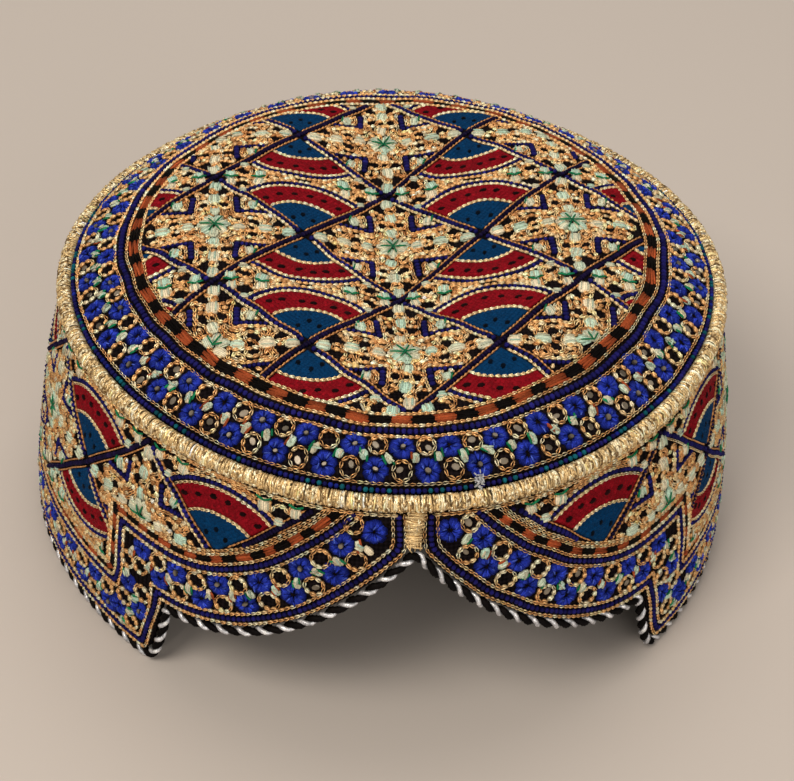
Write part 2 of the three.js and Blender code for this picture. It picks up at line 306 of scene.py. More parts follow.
def level_paths(field, start, step, level):
    """Paths along which a gridded field has one level, found cell by cell and joined end to end."""
    above = field - level
    sign = above > 0
    nu, nv = field.shape
    flat = np.arange(nu * nv).reshape(nu, nv)
    shift = nu * nv
    across = sign[:-1] != sign[1:]
    upward = sign[:, :-1] != sign[:, 1:]
    low = np.where(across[:, :-1], flat[:-1, :-1], -1)
    high = np.where(across[:, 1:], flat[:-1, 1:], -1)
    left = np.where(upward[:-1], flat[:-1, :-1] + shift, -1)
    right = np.where(upward[1:], flat[1:, :-1] + shift, -1)
    cells = np.stack([low, left, high, right], -1).reshape(-1, 4)
    count = (cells >= 0).sum(1)
    two = np.sort(cells[count == 2], axis=1)[:, 2:]
    four = cells[count == 4]
    pairs = np.vstack([two, four[:, :2], four[:, 2:]])
    beside = {}
    for a, b in pairs.tolist():
        beside.setdefault(a, []).append(b)
        beside.setdefault(b, []).append(a)
    values = above.ravel()
    origin = np.array(start)

    def spot(mark):
        """Where a path crosses one edge of the grid."""
        node = mark % shift
        other = node + 1 if mark >= shift else node + nv
        t = values[node] / (values[node] - values[other])
        i, j = divmod(node, nv)
        grid = (i, j + t) if mark >= shift else (i + t, j)
        return origin + np.array(grid) * step

    used = set()
    paths = []
    ends = [m for m, near in beside.items() if len(near) == 1]
    for first in ends + list(beside):
        if first in used:
            continue
        walk = [first]
        used.add(first)
        while True:
            onward = [m for m in beside[walk[-1]] if m not in used]
            if not onward:
                break
            walk.append(onward[0])
            used.add(onward[0])
        if len(walk) > 6:
            paths.append(np.array([spot(m) for m in walk]))
    return paths


class Ground:
    """Distance from every sewn motif, kept on a grid, so that rows of thread can fill what is left."""

    def __init__(self, low, high, step, reach, inside):
        self.low = np.array(low, float)
        self.step = step
        self.reach = reach
        u = np.arange(low[0], high[0], step)
        v = np.arange(low[1], high[1], step)
        self.uv = np.stack(np.meshgrid(u, v, indexing="ij"), -1)
        self.room = np.minimum(inside(self.uv), reach)

    def window(self, low, high):
        """The part of the grid within reach of a box."""
        first = np.floor((np.array(low) - self.reach - self.low) / self.step).astype(int)
        last = np.ceil((np.array(high) + self.reach - self.low) / self.step).astype(int) + 1
        first = np.clip(first, 0, self.room.shape)
        last = np.clip(last, 0, self.room.shape)
        return slice(first[0], last[0]), slice(first[1], last[1])

    def keep_off_line(self, path, half):
        """Holds the ground off a path, by half the path's width."""
        path = np.atleast_2d(path)
        ends = path[1:] if len(path) > 1 else path
        starts = path[:-1] if len(path) > 1 else path
        for a, b in zip(starts, ends):
            part = self.window(np.minimum(a, b), np.maximum(a, b))
            to = self.uv[part] - a
            run = b - a
            length = max(1e-9, run @ run)
            t = np.clip(to @ run / length, 0, 1)
            gap = np.linalg.norm(to - t[..., None] * run, axis=-1) - half
            self.room[part] = np.minimum(self.room[part], gap)

    def rows(self, width):
        """Paths of thread side by side over the free ground."""
        found = []
        level = width / 2
        while level < self.reach:
            found += level_paths(self.room, self.low, self.step, level)
            level += width
        return found


# Random lightness of beads, which partly stands in for painted highlights on them, and the shares of chain
# stitches given painted highlights in pale gold and painted glints
BEAD_SHADE = 0.3
PAINTED_HIGHLIGHT_SHARE = 0.46
PAINTED_GLINT_SHARE = 0.22

# Threads that take turns by chance along the crown's outer line of beads
MIXED_BEADS = ("navy", "navy", "navy", "blue", "sea")

# Lines of the borders: kind of stitch, thread, and width, length and height of one stitch
BORDER_LINES = {
    "gold": {"kind": "gold_links", "colour": "gold", "wide": 0.9, "long": 1.45, "high": 0.7},
    "thin": {"kind": "gold_links", "colour": "gold", "wide": 0.9, "long": 1.4, "high": 0.65},
    "fine": {"kind": "gold_links", "colour": "gold", "wide": 0.85, "long": 1.4, "high": 0.65},
    "navy": {"kind": "silk_beads", "colour": "navy", "wide": 1.4, "long": 1.35, "high": 0.9},
    "wide_navy": {"kind": "silk_beads", "colour": "navy", "wide": 1.6, "long": 1.4, "high": 0.95},
    "mixed": {"kind": "silk_beads", "colour": MIXED_BEADS, "wide": 1.3, "long": 1.3, "high": 0.9},
}


class Panel:
    """One face of the cap with the stitches that are to be sewn on it."""

    def __init__(self, name, place, inside, low, high, seed, mirror_share=None):
        self.name = name
        self.mirror_share = mirror_share
        self.place = place
        self.inside = inside
        self.random = np.random.default_rng(seed)
        self.ground = Ground(low, high, 0.25, 7.0, inside)
        self.waiting = {}

    def add(self, kind, uv, along, size, colour, lift=0.0, shade=0.1, clip=None):
        """Queues stitches of one kind: places, directions and sizes in millimetres, shared or one each."""
        uv = np.atleast_2d(np.asarray(uv, float))
        count = len(uv)
        if kind == "silk_beads":
            shade = BEAD_SHADE
        # A share of the chain stitches is painted lighter: pale gold as a painted highlight, the glint
        # colour as a painted glint
        if kind == "gold_links":
            glint = self.random.uniform(0, 1, (count, 1))
            colour = np.where(glint < PAINTED_HIGHLIGHT_SHARE, THREAD["pale_gold"], colour)
            colour = np.where(glint < PAINTED_GLINT_SHARE, THREAD["painted_glint"], colour)
        tint = colour * np.exp(self.random.normal(0, shade, (count, 1)))
        along, size = np.broadcast_to(along, (count, 2)), np.broadcast_to(size, (count, 3))
        row = np.column_stack([uv, along, size, tint, np.broadcast_to(lift, count)])
        if clip is not None:
            row = row[self.inside(row[:, :2]) > clip]
        self.waiting.setdefault(kind, []).append(row)

    def line(
        self, kind, path, colour, width, length, height,
        closed=False, keep=0.0, clip=None, lift=0.0, shade=0.1, overlap=1.0,
    ):
        """Sews a path with stitches end to end, and keeps the ground rows off it."""
        at, along = even_steps(path, length, closed)
        count = len(at)
        if np.ndim(colour) == 2:
            colour = colour[self.random.integers(len(colour), size=count)]
        long = np.linalg.norm(along, axis=1) * overlap
        size = np.stack([long, np.full(count, width), np.full(count, height)], 1)
        self.add(kind, at, along, size, colour, lift, shade, clip)
        if keep > 0:
            self.ground.keep_off_line(looped(path, closed), keep)

    def border_line(self, name, path, closed=False):
        """Sews one of the named lines of a border."""
        line = BORDER_LINES[name]
        colour = threads_of(line["colour"])
        self.line(line["kind"], path, colour, line["wide"], line["long"], line["high"], closed=closed)

    def directions(self, uv):
        """Ways round and up the cloth at places of the pattern, and the way out of it."""
        step = 0.05
        east = (self.place(uv + (step, 0)) - self.place(uv - (step, 0))) / (2 * step)
        north = (self.place(uv + (0, step)) - self.place(uv - (0, step))) / (2 * step)
        return east, north, unit(np.cross(east, north))


def linear(colour):
    """Display colour, 0 to 255, as scene-linear values."""
    share = np.array(colour, float) / 255
    return np.where(share <= 0.04045, share / 12.92, ((share + 0.055) / 1.055) ** 2.4)


def turned(points, quarter):
    """Points turned about the middle by quarter turns."""
    points = np.atleast_2d(np.asarray(points, float))
    for _ in range(quarter % 4):
        points = np.stack([-points[:, 1], points[:, 0]], 1)
    return points


def ray(angle):
    """Direction at an angle in radians."""
    return np.array((math.cos(angle), math.sin(angle)))


def turned_by(way, angle):
    """One direction turned by an angle in radians."""
    c, s = math.cos(angle), math.sin(angle)
    return np.array((way[0] * c - way[1] * s, way[0] * s + way[1] * c))


def arc(radius, half_deg, count=25):
    """Arc about the origin, open to both sides of the upward direction."""
    a = np.radians(np.linspace(-half_deg, half_deg, count))
    return np.stack([radius * np.sin(a), radius * np.cos(a)], 1)


SRGB = {
    "gold": (240, 184, 122),
    # Pale gold: a paler thread in some lines, and painted highlight on gold chain
    "pale_gold": (252, 218, 166),
    # Dark gold: a darker thread on the plain net lines, and painted shade among the ground rows
    "dark_gold_and_shade": (198, 138, 82),
    # Painted glint: near-white gold set on some stitches where light glances off the metal thread
    "painted_glint": (255, 238, 200),
    "navy": (28, 26, 92),
    "night": (24, 16, 52),
    "blue": (26, 40, 132),
    # Lighter blue: painted highlight on the flowers' satin
    "painted_highlight_blue": (46, 66, 188),
    "crimson": (138, 12, 26),
    "dark_red": (26, 3, 5),
    "dark_teal": (0, 10, 24),
    "teal": (0, 56, 100),
    "cream": (234, 218, 186),
    "mint": (186, 218, 198),
    "green": (30, 138, 92),
    "rust": (172, 82, 46),
    "black": (12, 8, 8),
    "silver": (204, 204, 208),
    "white": (226, 226, 228),
    "sea": (20, 96, 112),
    # Bright pale blue: painted glints on the flowers
    "painted_glint_blue": (84, 108, 214),
    "rim": (220, 190, 138),
    # Painted shade in the gaps between the rim cord's strands
    "rim_shade": (126, 98, 60),
    # Grey-brown of the mirrors: a painted reflection of the room in them
    "mirror": (122, 112, 98),
}
THREAD = {name: linear(value) for name, value in SRGB.items()}


def threads_of(names):
    """One thread colour, or the colours of several threads to pick from."""
    return THREAD[names] if isinstance(names, str) else np.array([THREAD[name] for name in names])


# The four quarters of a cell, as signs of the two directions
FLIPS = ((-1, -1), (-1, 1), (1, -1), (1, 1))

# Star motif, for one arm and one quarter: places in millimetres in a cell of half-diagonal CELL
ARM_KNOTS = (
    {"out": 6.2, "long": 3.3, "wide": 3.4},
    {"out": 12.5, "long": 4.0, "wide": 3.7},
    {"out": 18.5, "long": 3.6, "wide": 3.7},
)
ARM_HOLES = (
    {"out": 9.4, "aside": 2.6},
    {"out": 15.6, "aside": 2.5},
)
BRACKET_CORNER = (5.6, 6.7)
BRACKET_UP = 6.0
BRACKET_OUT = 7.6
CORNER_KNOT = (9.3, 9.7)

# Side motifs at the left and right of each white crossing
CROSSING_KNOTS = (
    {"aside": 3.9, "up": 1.7, "long": 3.0, "wide": 3.5},
    {"aside": 3.9, "up": -1.7, "long": 2.9, "wide": 3.2},
    {"aside": 11.4, "up": 1.8, "long": 3.3, "wide": 3.8},
    {"aside": 11.4, "up": -1.8, "long": 3.2, "wide": 3.6},
)
CROSSING_HOLES = (
    {"aside": 7.5, "up": 2.5},
    {"aside": 7.5, "up": -2.5},
)
CROSSING_SMALL = (
    {"aside": 7.3, "up": 5.6},
    {"aside": 7.3, "up": -5.6},
)

# Fan motif: radii of the blue lobe, the red band and the navy arc, above and below a crossing
FANS = (
    {"turn": 0, "lobe": 12.5, "red_in": 13.5, "red_out": 19.6, "navy": 21.1},
    {"turn": 2, "lobe": 11.5, "red_in": 12.4, "red_out": 18.3, "navy": 19.7},
)
FAN_START = 2.4
FAN_ROW = 0.62
FAN_DOTS = 6
FAN_DOT_DEG = 13.5
FAN_CLEAR = 1.4 * math.sqrt(0.5) + 0.4


class Cell:
    """Maps motif coordinates to a panel's pattern coordinates."""

    def __init__(self, panel, middle, stretch):
        self.panel = panel
        self.middle = np.array(middle, float)
        self.stretch = np.array(stretch, float)

    def at(self, points):
        """Places of the motif's points in the pattern."""
        return self.middle + np.atleast_2d(np.asarray(points, float)) * self.stretch

    def line(self, kind, path, colour, width, length, height, **settings):
        """Sews a line of the motif."""
        thread = THREAD[colour]
        self.panel.line(kind, self.at(path), thread, width, length, height, clip=LINE_CLIP, **settings)

    def stitch(self, kind, point, way, size, colour, lift):
        """Lays one stitch over the others."""
        self.panel.add(kind, self.at(point), way, size, THREAD[colour], lift=lift, clip=KNOT_CLIP)

    def keep_clear(self, place, reach, half):
        """Holds the ground rows off a short line through a place."""
        self.panel.ground.keep_off_line(np.vstack([place - reach, place + reach]), half)

    def knot(self, point, direction, long, wide, colour, height=0.95, keep=1.1):
        """A plump satin knot with the ground held off its two ends."""
        panel = self.panel
        direction = turned_by(direction, panel.random.normal(0, 0.12))
        place = self.at(point) + panel.random.normal(0, 0.16, 2)
        keep = min(keep, wide * 0.36)
        panel.add("silk_knots", place, direction, (long, wide, height), colour, shade=0.07, clip=KNOT_CLIP)
        aside = np.array((-direction[1], direction[0]))
        size = (long * 0.72, 0.5, 0.34)
        for shift in (-0.24, 0.16):
            spot = place + aside * wide * (shift + panel.random.normal(0, 0.05))
            colour = pale(panel) * 1.15
            panel.add("silk_bars", spot, direction, size, colour, lift=height * 0.72, clip=KNOT_CLIP)
        self.keep_clear(place, direction * max(0, long / 2 - keep), keep)

    def hole(self, point, direction=(1, 0), reach=0.35, radius=1.12):
        """An opening in the ground rows."""
        place = self.at(point) + self.panel.random.normal(0, 0.12, 2)
        self.keep_clear(place, np.array(direction, float) * reach, radius)


def pale(panel):
    """Cream or mint thread, by chance."""
    mix = panel.random.uniform(0, 1)
    return THREAD["cream"] * (1 - mix) + THREAD["mint"] * mix


def star_motif(cell):
    """Four-armed star with a pale flower, ringed holes, navy brackets and corner knots."""
    panel = cell.panel
    for k in range(7):
        way = ray(2 * math.pi * (k + 0.3) / 7)
        cell.knot(way * 2.35, way, 3.6, 2.9, pale(panel), keep=1.4)
    for k in range(6):
        way = ray(2 * math.pi * k / 6 + panel.random.uniform(-0.2, 0.2))
        long = panel.random.uniform(2.4, 3.6)
        cell.stitch("silk_bars", way * long / 2, way, (long, 0.38, 0.36), "green", 1.0)
    for quarter in range(4):
        way = turned((0, 1), quarter)[0]
        for row in ARM_KNOTS:
            cell.knot(turned((0, row["out"]), quarter), way, row["long"], row["wide"], pale(panel))
        for row in ARM_HOLES:
            for side in (-1, 1):
                cell.hole(turned((side * row["aside"], row["out"]), quarter), way)
    for flip in FLIPS:
        corner = np.array(BRACKET_CORNER)
        upright = np.array([corner - (0, 0.5), corner + (0, BRACKET_UP)]) * flip
        level = np.array([corner - (0.4, 0), corner + (BRACKET_OUT, 0.4)]) * flip
        cell.line("silk_beads", upright, "navy", 1.7, 1.25, 0.85, keep=0.85)
        cell.line("silk_beads", level, "navy", 1.2, 1.2, 0.8, keep=0.65)
        spot = np.array(CORNER_KNOT) * flip
        cell.knot(spot, np.array((0.25, 0.97)) * flip, 3.1, 3.0, pale(panel))
        beside = spot + np.array((1.1, 0.5)) * flip
        cell.stitch("silk_bars", beside, (0.3, 1), (2.2, 0.5, 0.6), "green", 0.5)


def crossing_motif(cell):
    """Pale stacked knots with green stitches and ringed holes to both sides of a crossing."""
    for side in (-1, 1):
        for row in CROSSING_KNOTS:
            shade = THREAD["mint" if row["up"] > 0 else "cream"]
            cell.knot((side * row["aside"], row["up"]), (0, 1), row["long"], row["wide"], shade)
        for row in CROSSING_HOLES:
            cell.hole((side * row["aside"], row["up"]))
        for row in CROSSING_SMALL:
            cell.knot((side * row["aside"], row["up"]), (1, 0), 2.6, 2.1, pale(cell.panel), height=0.8)
        for aside in (3.9, 11.4):
            for reach in (-1, 1):
                spot = (side * aside + reach * 0.9, 0.1)
                cell.stitch("silk_bars", spot, (1, 0.35 * reach), (2.0, 0.48, 0.5), "green", 0.6)


def fan_motif(cell, fan):
    """Blue lobe inside a red band with dark dots, edged in cream and gold, under a navy arc."""
    random = cell.panel.random
    turn = fan["turn"]

    def bow(radius, margin, out=0.0):
        """Arc of the fan whose ends keep a margin from the net."""
        return turned(arc(radius + out, 45 - math.degrees(math.asin(margin / radius))), turn)

    def fill(inner, outer, colour, margin, shade):
        """Satin rows side by side between two radii."""
        count = round((outer - inner) / FAN_ROW)
        wide = (outer - inner) / count
        for k in range(count):
            path = bow(inner + (k + 0.5) * wide, margin)
            lift = random.uniform(0.0, 0.1)
            cell.line("silk_rows", path, colour, wide * 2.5, 1.1, 0.36, lift=lift, shade=shade, overlap=2.1)

    fill(FAN_START, fan["lobe"], "teal", 1.65, 0.08)
    fill(fan["red_in"], fan["red_out"], "crimson", 1.75, 0.13)
    cell.line("gold_links", bow((fan["lobe"] + fan["red_in"]) / 2, 1.5), "pale_gold", 0.8, 1.4, 0.75)
    cell.line("gold_links", bow(fan["red_out"] + 0.4, 1.6), "pale_gold", 0.78, 1.5, 0.7)
    cell.line("silk_beads", bow(fan["navy"], 1.2), "navy", 1.3, 1.2, 0.8)
    cell.line("gold_links", bow(fan["navy"], 1.9, 1.0), "gold", 0.76, 1.5, 0.65)
    for k in range(FAN_DOTS):
        a = math.radians((k - (FAN_DOTS - 1) / 2) * FAN_DOT_DEG + random.uniform(-2, 2))
        radius = (fan["red_in"] + fan["red_out"]) / 2 + random.uniform(-0.5, 0.9)
        spot = turned((radius * math.sin(a), radius * math.cos(a)), turn)
        cell.stitch("silk_beads", spot, (1, 0.2), (2.2, 1.5, 0.62), "dark_red", 0.06)
    for k in range(3):
        spot = turned((2.6 * (k - 1), 6.6 + 1.9 * (k % 2)), turn)
        cell.stitch("silk_beads", spot, (0.3, 1), (1.9, 1.4, 0.58), "dark_teal", 0.06)
    ground = cell.panel.ground
    for radius in np.arange(0, fan["navy"] + 0.2, 1.2):
        ground.keep_off_line(cell.at(turned(arc(max(0.1, radius), 45, 13), turn)), 1.0)
    ground.keep_off_line(cell.at(turned(arc(fan["navy"], 45), turn)), FAN_CLEAR)


def net_lines(cell):
    """The four navy sides of a cell, each between two rows of gold."""
    for su, sv in FLIPS:
        plain = su * sv < 0
        trim = 0 if plain else 0.045
        start, end = np.array((su * CELL, 0)), np.array((0, sv * CELL))
        path = start + np.linspace(trim, 1 - trim, 19)[:, None] * (end - start)
        thread, long = ("night", 0.95) if plain else ("navy", 1.35)
        cell.line("silk_beads", path, thread, 1.45, long, 0.95, keep=1.5)
        normal = np.array((su, sv)) * math.sqrt(0.5)
        for side in (-1, 1):
            away = path[1:-1] + normal * side
            if plain or side * su > 0:
                cell.line("gold_rows", away, "dark_gold_and_shade", 0.52, 1.3, 0.6, overlap=1.7)
            else:
                cell.line("gold_links", away, "pale_gold", 0.72, 1.4, 0.66)


def lattice(panel, origin, half, columns, rows):
    """Diagonal net of navy lines, with stars in one set of cells and fans in the other."""
    for i in columns:
        for j in rows:
            cell = Cell(panel, np.array(origin) + np.array((i, j)) * half, np.array(half) / CELL)
            if i % 2 == 0 and j % 2 == 0:
                net_lines(cell)
                star_motif(cell)
            elif j % 2 == 0:
                for fan in FANS:
                    fan_motif(cell, fan)
            elif i % 2 == 0:
                crossing_motif(cell)


# Petals of a border flower: long and wide are shares of its radius; the narrow upper ring in lighter blue is
# a painted highlight on the satin
PETALS = (
    {"count": 7, "out": 0.58, "long": 0.92, "wide": 0.98, "high": 0.6, "turn": 0.0, "colour": "blue"},
    {"count": 9, "out": 0.54, "long": 0.8, "wide": 0.36, "high": 0.9, "turn": 0.5, "colour": "painted_highlight_blue"},
)
CHECK_ROW = 0.6

# Borders of the crown, as shares of the rim's radius, and of the wall, as distances from its lower edge
CROWN_LINES = (
    {"at": 0.7645, "line": "thin"},
    {"at": 0.8045, "line": "gold"},
    {"at": 0.8225, "line": "wide_navy"},
    {"at": 0.8405, "line": "gold"},
    {"at": 0.9595, "line": "gold"},
    {"at": 0.973, "line": "mixed"},
)
CROWN_CHECKS = {"at": 0.784, "blocks": 84, "rows": 4}
CROWN_FLOWERS = {"at": 0.9, "spread": 2.65}
WALL_LINES = (
    {"at": 0.7, "line": "thin"},
    {"at": 2.0, "line": "navy"},
    {"at": 3.4, "line": "gold"},
    {"at": 13.75, "line": "gold"},
    {"at": 15.0, "line": "navy"},
    {"at": 16.25, "line": "gold"},
    {"at": 18.7, "line": "fine"},
    {"at": 19.55, "line": "thin"},
)
WALL_CHECKS = {"at": 17.45, "blocks": 151, "rows": 3}
WALL_FLOWERS = {"at": 8.6, "spread": 2.45, "skip_right": 2.3, "skip_left": 4.2}
TUFT_MIDDLE = (14.0, -81.9)

# What fills the corners beside the front seam: places right of it, and left of it with a minus sign
SEAM_FLOWERS = ((7.5, -7.2), (-9.3, -7.4))
SEAM_EYELETS = ((12.1, -5.9), (-14.1, -6.0))
SEAM_KNOT = (-10.3, -12.0)

# Gold tones of the ground rows and their shares: pale gold is painted highlight, dark gold painted shade and
# the bright gold a painted glint
GROUND_THREADS = {"gold": 0.46, "pale_gold": 0.29, "dark_gold_and_shade": 0.16, "painted_glint": 0.09}


def fill_ground(panel, width):
    """Rows of gold chain over all ground that the motifs leave free."""
    choice = threads_of(GROUND_THREADS)
    for path in panel.ground.rows(width):
        at, along = even_steps(path, 1.45)
        count = len(at)
        if count < 2:
            continue
        # Links take tones by chance: plain gold, pale gold as painted highlight, dark gold as painted shade
        # and bright gold as painted glint
        pick = panel.random.choice(4, size=count, p=tuple(GROUND_THREADS.values()))
        long = np.linalg.norm(along, axis=1)
        height = panel.random.uniform(0.45, 0.8, count)
        size = np.stack([long * 1.1, np.full(count, width * 1.15), height], 1)
        panel.add("gold_ground", at, along, size, choice[pick], shade=0.18)


def check_rows(panel, path, blocks, rows, closed):
    """Blocks of black and rust satin in turn along a border, each of a few long stitches side by side."""
    points = looped(path, closed)
    run = run_along(points)
    edges = np.arange(blocks + 1) + panel.random.uniform(-0.12, 0.12, blocks + 1)
    edges[0], edges[-1] = 0, blocks
    ends = at_marks(edges / blocks * run[-1], run, points)
    at, along = (ends[1:] + ends[:-1]) / 2, ends[1:] - ends[:-1]
    long = np.linalg.norm(along, axis=1)[:, None]
    across = np.stack([-along[:, 1], along[:, 0]], 1) / long
    colour = np.where(np.arange(blocks)[:, None] % 2 == 0, THREAD["black"], THREAD["rust"])
    size = np.column_stack([long * 1.06, np.full(blocks, 0.74), np.full(blocks, 0.42)])
    for row in range(rows):
        slide = along * panel.random.normal(0, 0.03, (blocks, 1))
        offset = (row - (rows - 1) / 2) * CHECK_ROW
        panel.add("silk_bars", at + across * offset + slide, along, size, colour, shade=0.22)


def maybe_mirror(panel, at, slide, long, wide, high, shade):
    """A small mirror at a turned angle, in the panel's share of the places; ranges run from low to high."""
    if panel.random.uniform() >= panel.mirror_share(at):
        return
    spot = at + panel.random.uniform(-slide, slide, 2)
    size = (panel.random.uniform(*long), panel.random.uniform(*wide), high)
    way = ray(panel.random.uniform(0, math.pi))
    # The grey-brown mirror colour is a painted reflection
    panel.add("mirrors", spot, way, size, THREAD["mirror"], shade=shade)


def rosette(panel, at, radius):
    """Blue flower of overlapping satin petals round a small mirror, with painted highlights and glints in
    lighter blue.
    """
    random = panel.random
    start = random.uniform(0, 2)
    for ring in PETALS:
        size = np.array((ring["long"] * radius, ring["wide"] * radius, ring["high"]))
        for k in range(ring["count"]):
            way = ray(start + 2 * math.pi * (k + ring["turn"]) / ring["count"] + random.normal(0, 0.1))
            spot = at + way * radius * ring["out"]
            panel.add("silk_petals", spot, way, size, THREAD[ring["colour"]], shade=0.25)
    # Short lighter blue bars over the petals are painted glints
    for k in range(9):
        out = ray(start + 2 * math.pi * (k + random.uniform(0, 0.8)) / 9)
        colour = THREAD["painted_highlight_blue" if k % 3 else "painted_glint_blue"]
        size = (random.uniform(0.8, 1.5), 0.36, 0.3)
        spot = at + out * radius * random.uniform(0.42, 0.72)
        way = turned_by(out, random.normal(0, 0.5))
        panel.add("silk_bars", spot, way, size, colour, lift=0.55, shade=0.25)
    maybe_mirror(panel, at, 0.2, (1.2, 1.6), (0.9, 1.25), 0.75, 0.25)


def eyelet(panel, at, radius):
    """Black eyelet with a sliver of mirror inside a ring of gold chain."""
    a = even_angles(16)
    ring = at + np.stack([np.cos(a), np.sin(a)], 1) * (radius - 0.4)
    panel.line("gold_links", ring, THREAD["gold"], 0.95, 1.6, 0.85, closed=True)
    maybe_mirror(panel, at, 0.55, (1.6, 2.3), (1.2, 1.7), 0.3, 0.3)


def border_knot(panel, between, along, across):
    """Pale knot between four flowers, with loose pale strands and two green or rust stitches."""
    random = panel.random
    way = across + along * random.normal(0, 0.4)
    size = (random.uniform(2.3, 3.1), random.uniform(1.7, 2.2), 0.85)
    panel.add("silk_knots", between, way, size, pale(panel), shade=0.1, lift=0.15)
    for _ in range(3):
        spot = between + random.uniform(-0.5, 0.5, 2)
        turn = turned_by(way / np.linalg.norm(way), random.normal(0, 0.6))
        size = (random.uniform(1.2, 2.0), 0.46, 0.4)
        panel.add("silk_bars", spot, turn, size, pale(panel) * 1.1, lift=0.85, shade=0.2)
    colour = THREAD["green" if random.uniform() < 0.6 else "rust"]
    for _ in range(2):
        spot = between + along * random.choice((-0.9, 0.9)) + across * random.uniform(-0.8, 0.8)
        size = (random.uniform(1.3, 2.3), 0.55, 0.5)
        panel.add("silk_bars", spot, way, size, colour, lift=0.45, shade=0.25)


def flower_rows(panel, path, closed, spacing, spread, taken, side=1, skip=0.0):
    """Two staggered rows of rosettes and eyelets, with pale knots where four of them meet."""
    at, along = even_steps(path, spacing, closed)
    along = unit(along)
    at = at + along * skip
    across = np.stack([-along[:, 1], along[:, 0]], 1) * side

    def free(spot, reach, seam_clear):
        """Whether a place is clear of what is sewn already, and on the wall of the seam and the rim."""
        if not closed:
            if wrap_degrees(spot[0]) * ARC_MM < seam_clear or spot[1] > -WALL_TOP - FLOWER_CLEAR:
                return False
        return all(np.hypot(*(spot - other)) >= reach for other in taken)

    for k in range(len(at)):
        for row in (-1, 1):
            spot = at[k] + across[k] * row * spread
            if not free(spot, spacing * 0.72, SEAM_CLEAR):
                continue
            taken.append(spot)
            if (k + (row > 0)) % 2 == 0:
                rosette(panel, spot, spacing * 0.52)
            else:
                eyelet(panel, spot, spacing * 0.45)
        between = at[k] + along[k] * spacing / 2 + panel.random.normal(0, 0.15, 2)
        if free(between, spacing * 0.4, SEAM_CLEAR + 0.2):
            border_knot(panel, between, along[k], across[k])


def loose_tuft(panel):
    """A few loose white thread ends at the crown's edge."""
    random = panel.random
    for _ in range(36):
        way = ray(random.uniform(0, 2 * math.pi))
        spot = np.array(TUFT_MIDDLE) + random.normal(0, 1, 2) * (0.5, 0.85)
        lift = random.uniform(0.8, 1.6)
        size = (random.uniform(0.6, 1.2), 0.34, 0.3)
        panel.add("silk_bars", spot, way, size, THREAD["white"], lift=lift)


def crown_mirror_share(at):
    """Share of crown flowers whose mirror shows: most at the front, fewer elsewhere."""
    return 0.85 if at[1] < -45 else 0.35


def wall_mirror_share(at):
    """Share of wall flowers whose mirror shows."""
    return 0.22


def crown_panel(sizes):
    """All stitches of the crown."""
    panel = Panel("crown", crown_place, crown_inside, (-70, -70), (70, 70), 11, crown_mirror_share)
    lattice(panel, (-0.2, 0.45), (CELL, CELL), range(-4, 5), range(-4, 5))
    fill_ground(panel, sizes.row_width / MM)
    for row in CROWN_LINES:
        panel.border_line(row["line"], ring_line(row["at"]), closed=True)
    check_rows(panel, ring_line(CROWN_CHECKS["at"]), CROWN_CHECKS["blocks"], CROWN_CHECKS["rows"], True)
    gap = sizes.crown_flower_gap / MM
    flower_rows(panel, ring_line(CROWN_FLOWERS["at"]), True, gap, CROWN_FLOWERS["spread"], [])
    loose_tuft(panel)
    return panel


def band_panel(sizes):
    """All stitches of the side wall."""
    panel = Panel("side_band", wall_place, wall_inside, (3, -48), (TURN_MM - 3, -2), 12, wall_mirror_share)
    lattice(panel, (15 * ARC_MM, -24.2), (15 * ARC_MM, 20.0), range(0, 24), range(-1, 2))
    fill_ground(panel, sizes.row_width / MM)
    for row in WALL_LINES:
        panel.border_line(row["line"], edge_line(row["at"]))
    check_rows(panel, edge_line(WALL_CHECKS["at"]), WALL_CHECKS["blocks"], WALL_CHECKS["rows"], False)
    top = np.stack([np.linspace(4, TURN_MM - 4, 400), np.full(400, -WALL_TOP - 0.55)], 1)
    panel.line("gold_links", top, THREAD["gold"], 1.0, 1.7, 0.7)
    gap = sizes.wall_flower_gap / MM
    taken = []
    for places, motif, share in ((SEAM_FLOWERS, rosette, 0.5), (SEAM_EYELETS, eyelet, 0.42)):
        for x, y in places:
            taken.append(np.array((x % TURN_MM, y)))
            motif(panel, taken[-1], gap * share)
    knot = (SEAM_KNOT[0] % TURN_MM, SEAM_KNOT[1])
    panel.add("silk_knots", knot, (0.7, -0.7), (2.6, 2.0, 0.85), THREAD["cream"], shade=0.1, lift=0.15)
    row = WALL_FLOWERS
    half = edge_line(row["at"], whole=False)
    flower_rows(panel, half, False, gap, row["spread"], taken, skip=row["skip_right"])
    flower_rows(panel, mirrored(half), False, gap, row["spread"], taken, side=-1, skip=row["skip_left"])
    return panel


# Unit shapes of the stitches: length along X, width along Y and height along Z are all one


def link_shape(thick=0.13):
    """Two strands that swell apart and meet again, as one loop of chain stitch does."""
    points, faces = [], []
    for side in (-1, 1):
        base = len(points)
        points.append((-0.66, side * 0.02, 0.3))
        for x, y, half, top in ((-0.06, 0.35, thick, 1.0), (0.56, 0.12, 0.12, 0.85)):
            points += [(x, side * (y + half), 0), (x, side * y, top), (x, side * (y - half), 0)]
        t, o1, m1, n1, o2, m2, n2 = range(base, base + 7)
        faces += [(t, o1, m1), (t, m1, n1), (t, n1, o1)]
        faces += [(o1, o2, m2, m1), (m1, m2, n2, n1), (n1, n2, o2, o1), (o2, n2, m2)]
    return points, faces


def grooved(tip, widest, groove):
    """Tip and widest section of a plump stitch with a groove down its middle, and the faces between."""
    section = ((-0.5, 0), (-0.25, 1), (0, groove), (0.25, 1), (0.5, 0))
    points = [(tip, 0, 0.1)] + [(widest, y, z) for y, z in section]
    return points, [(0, k + 1, k) for k in range(1, 5)]


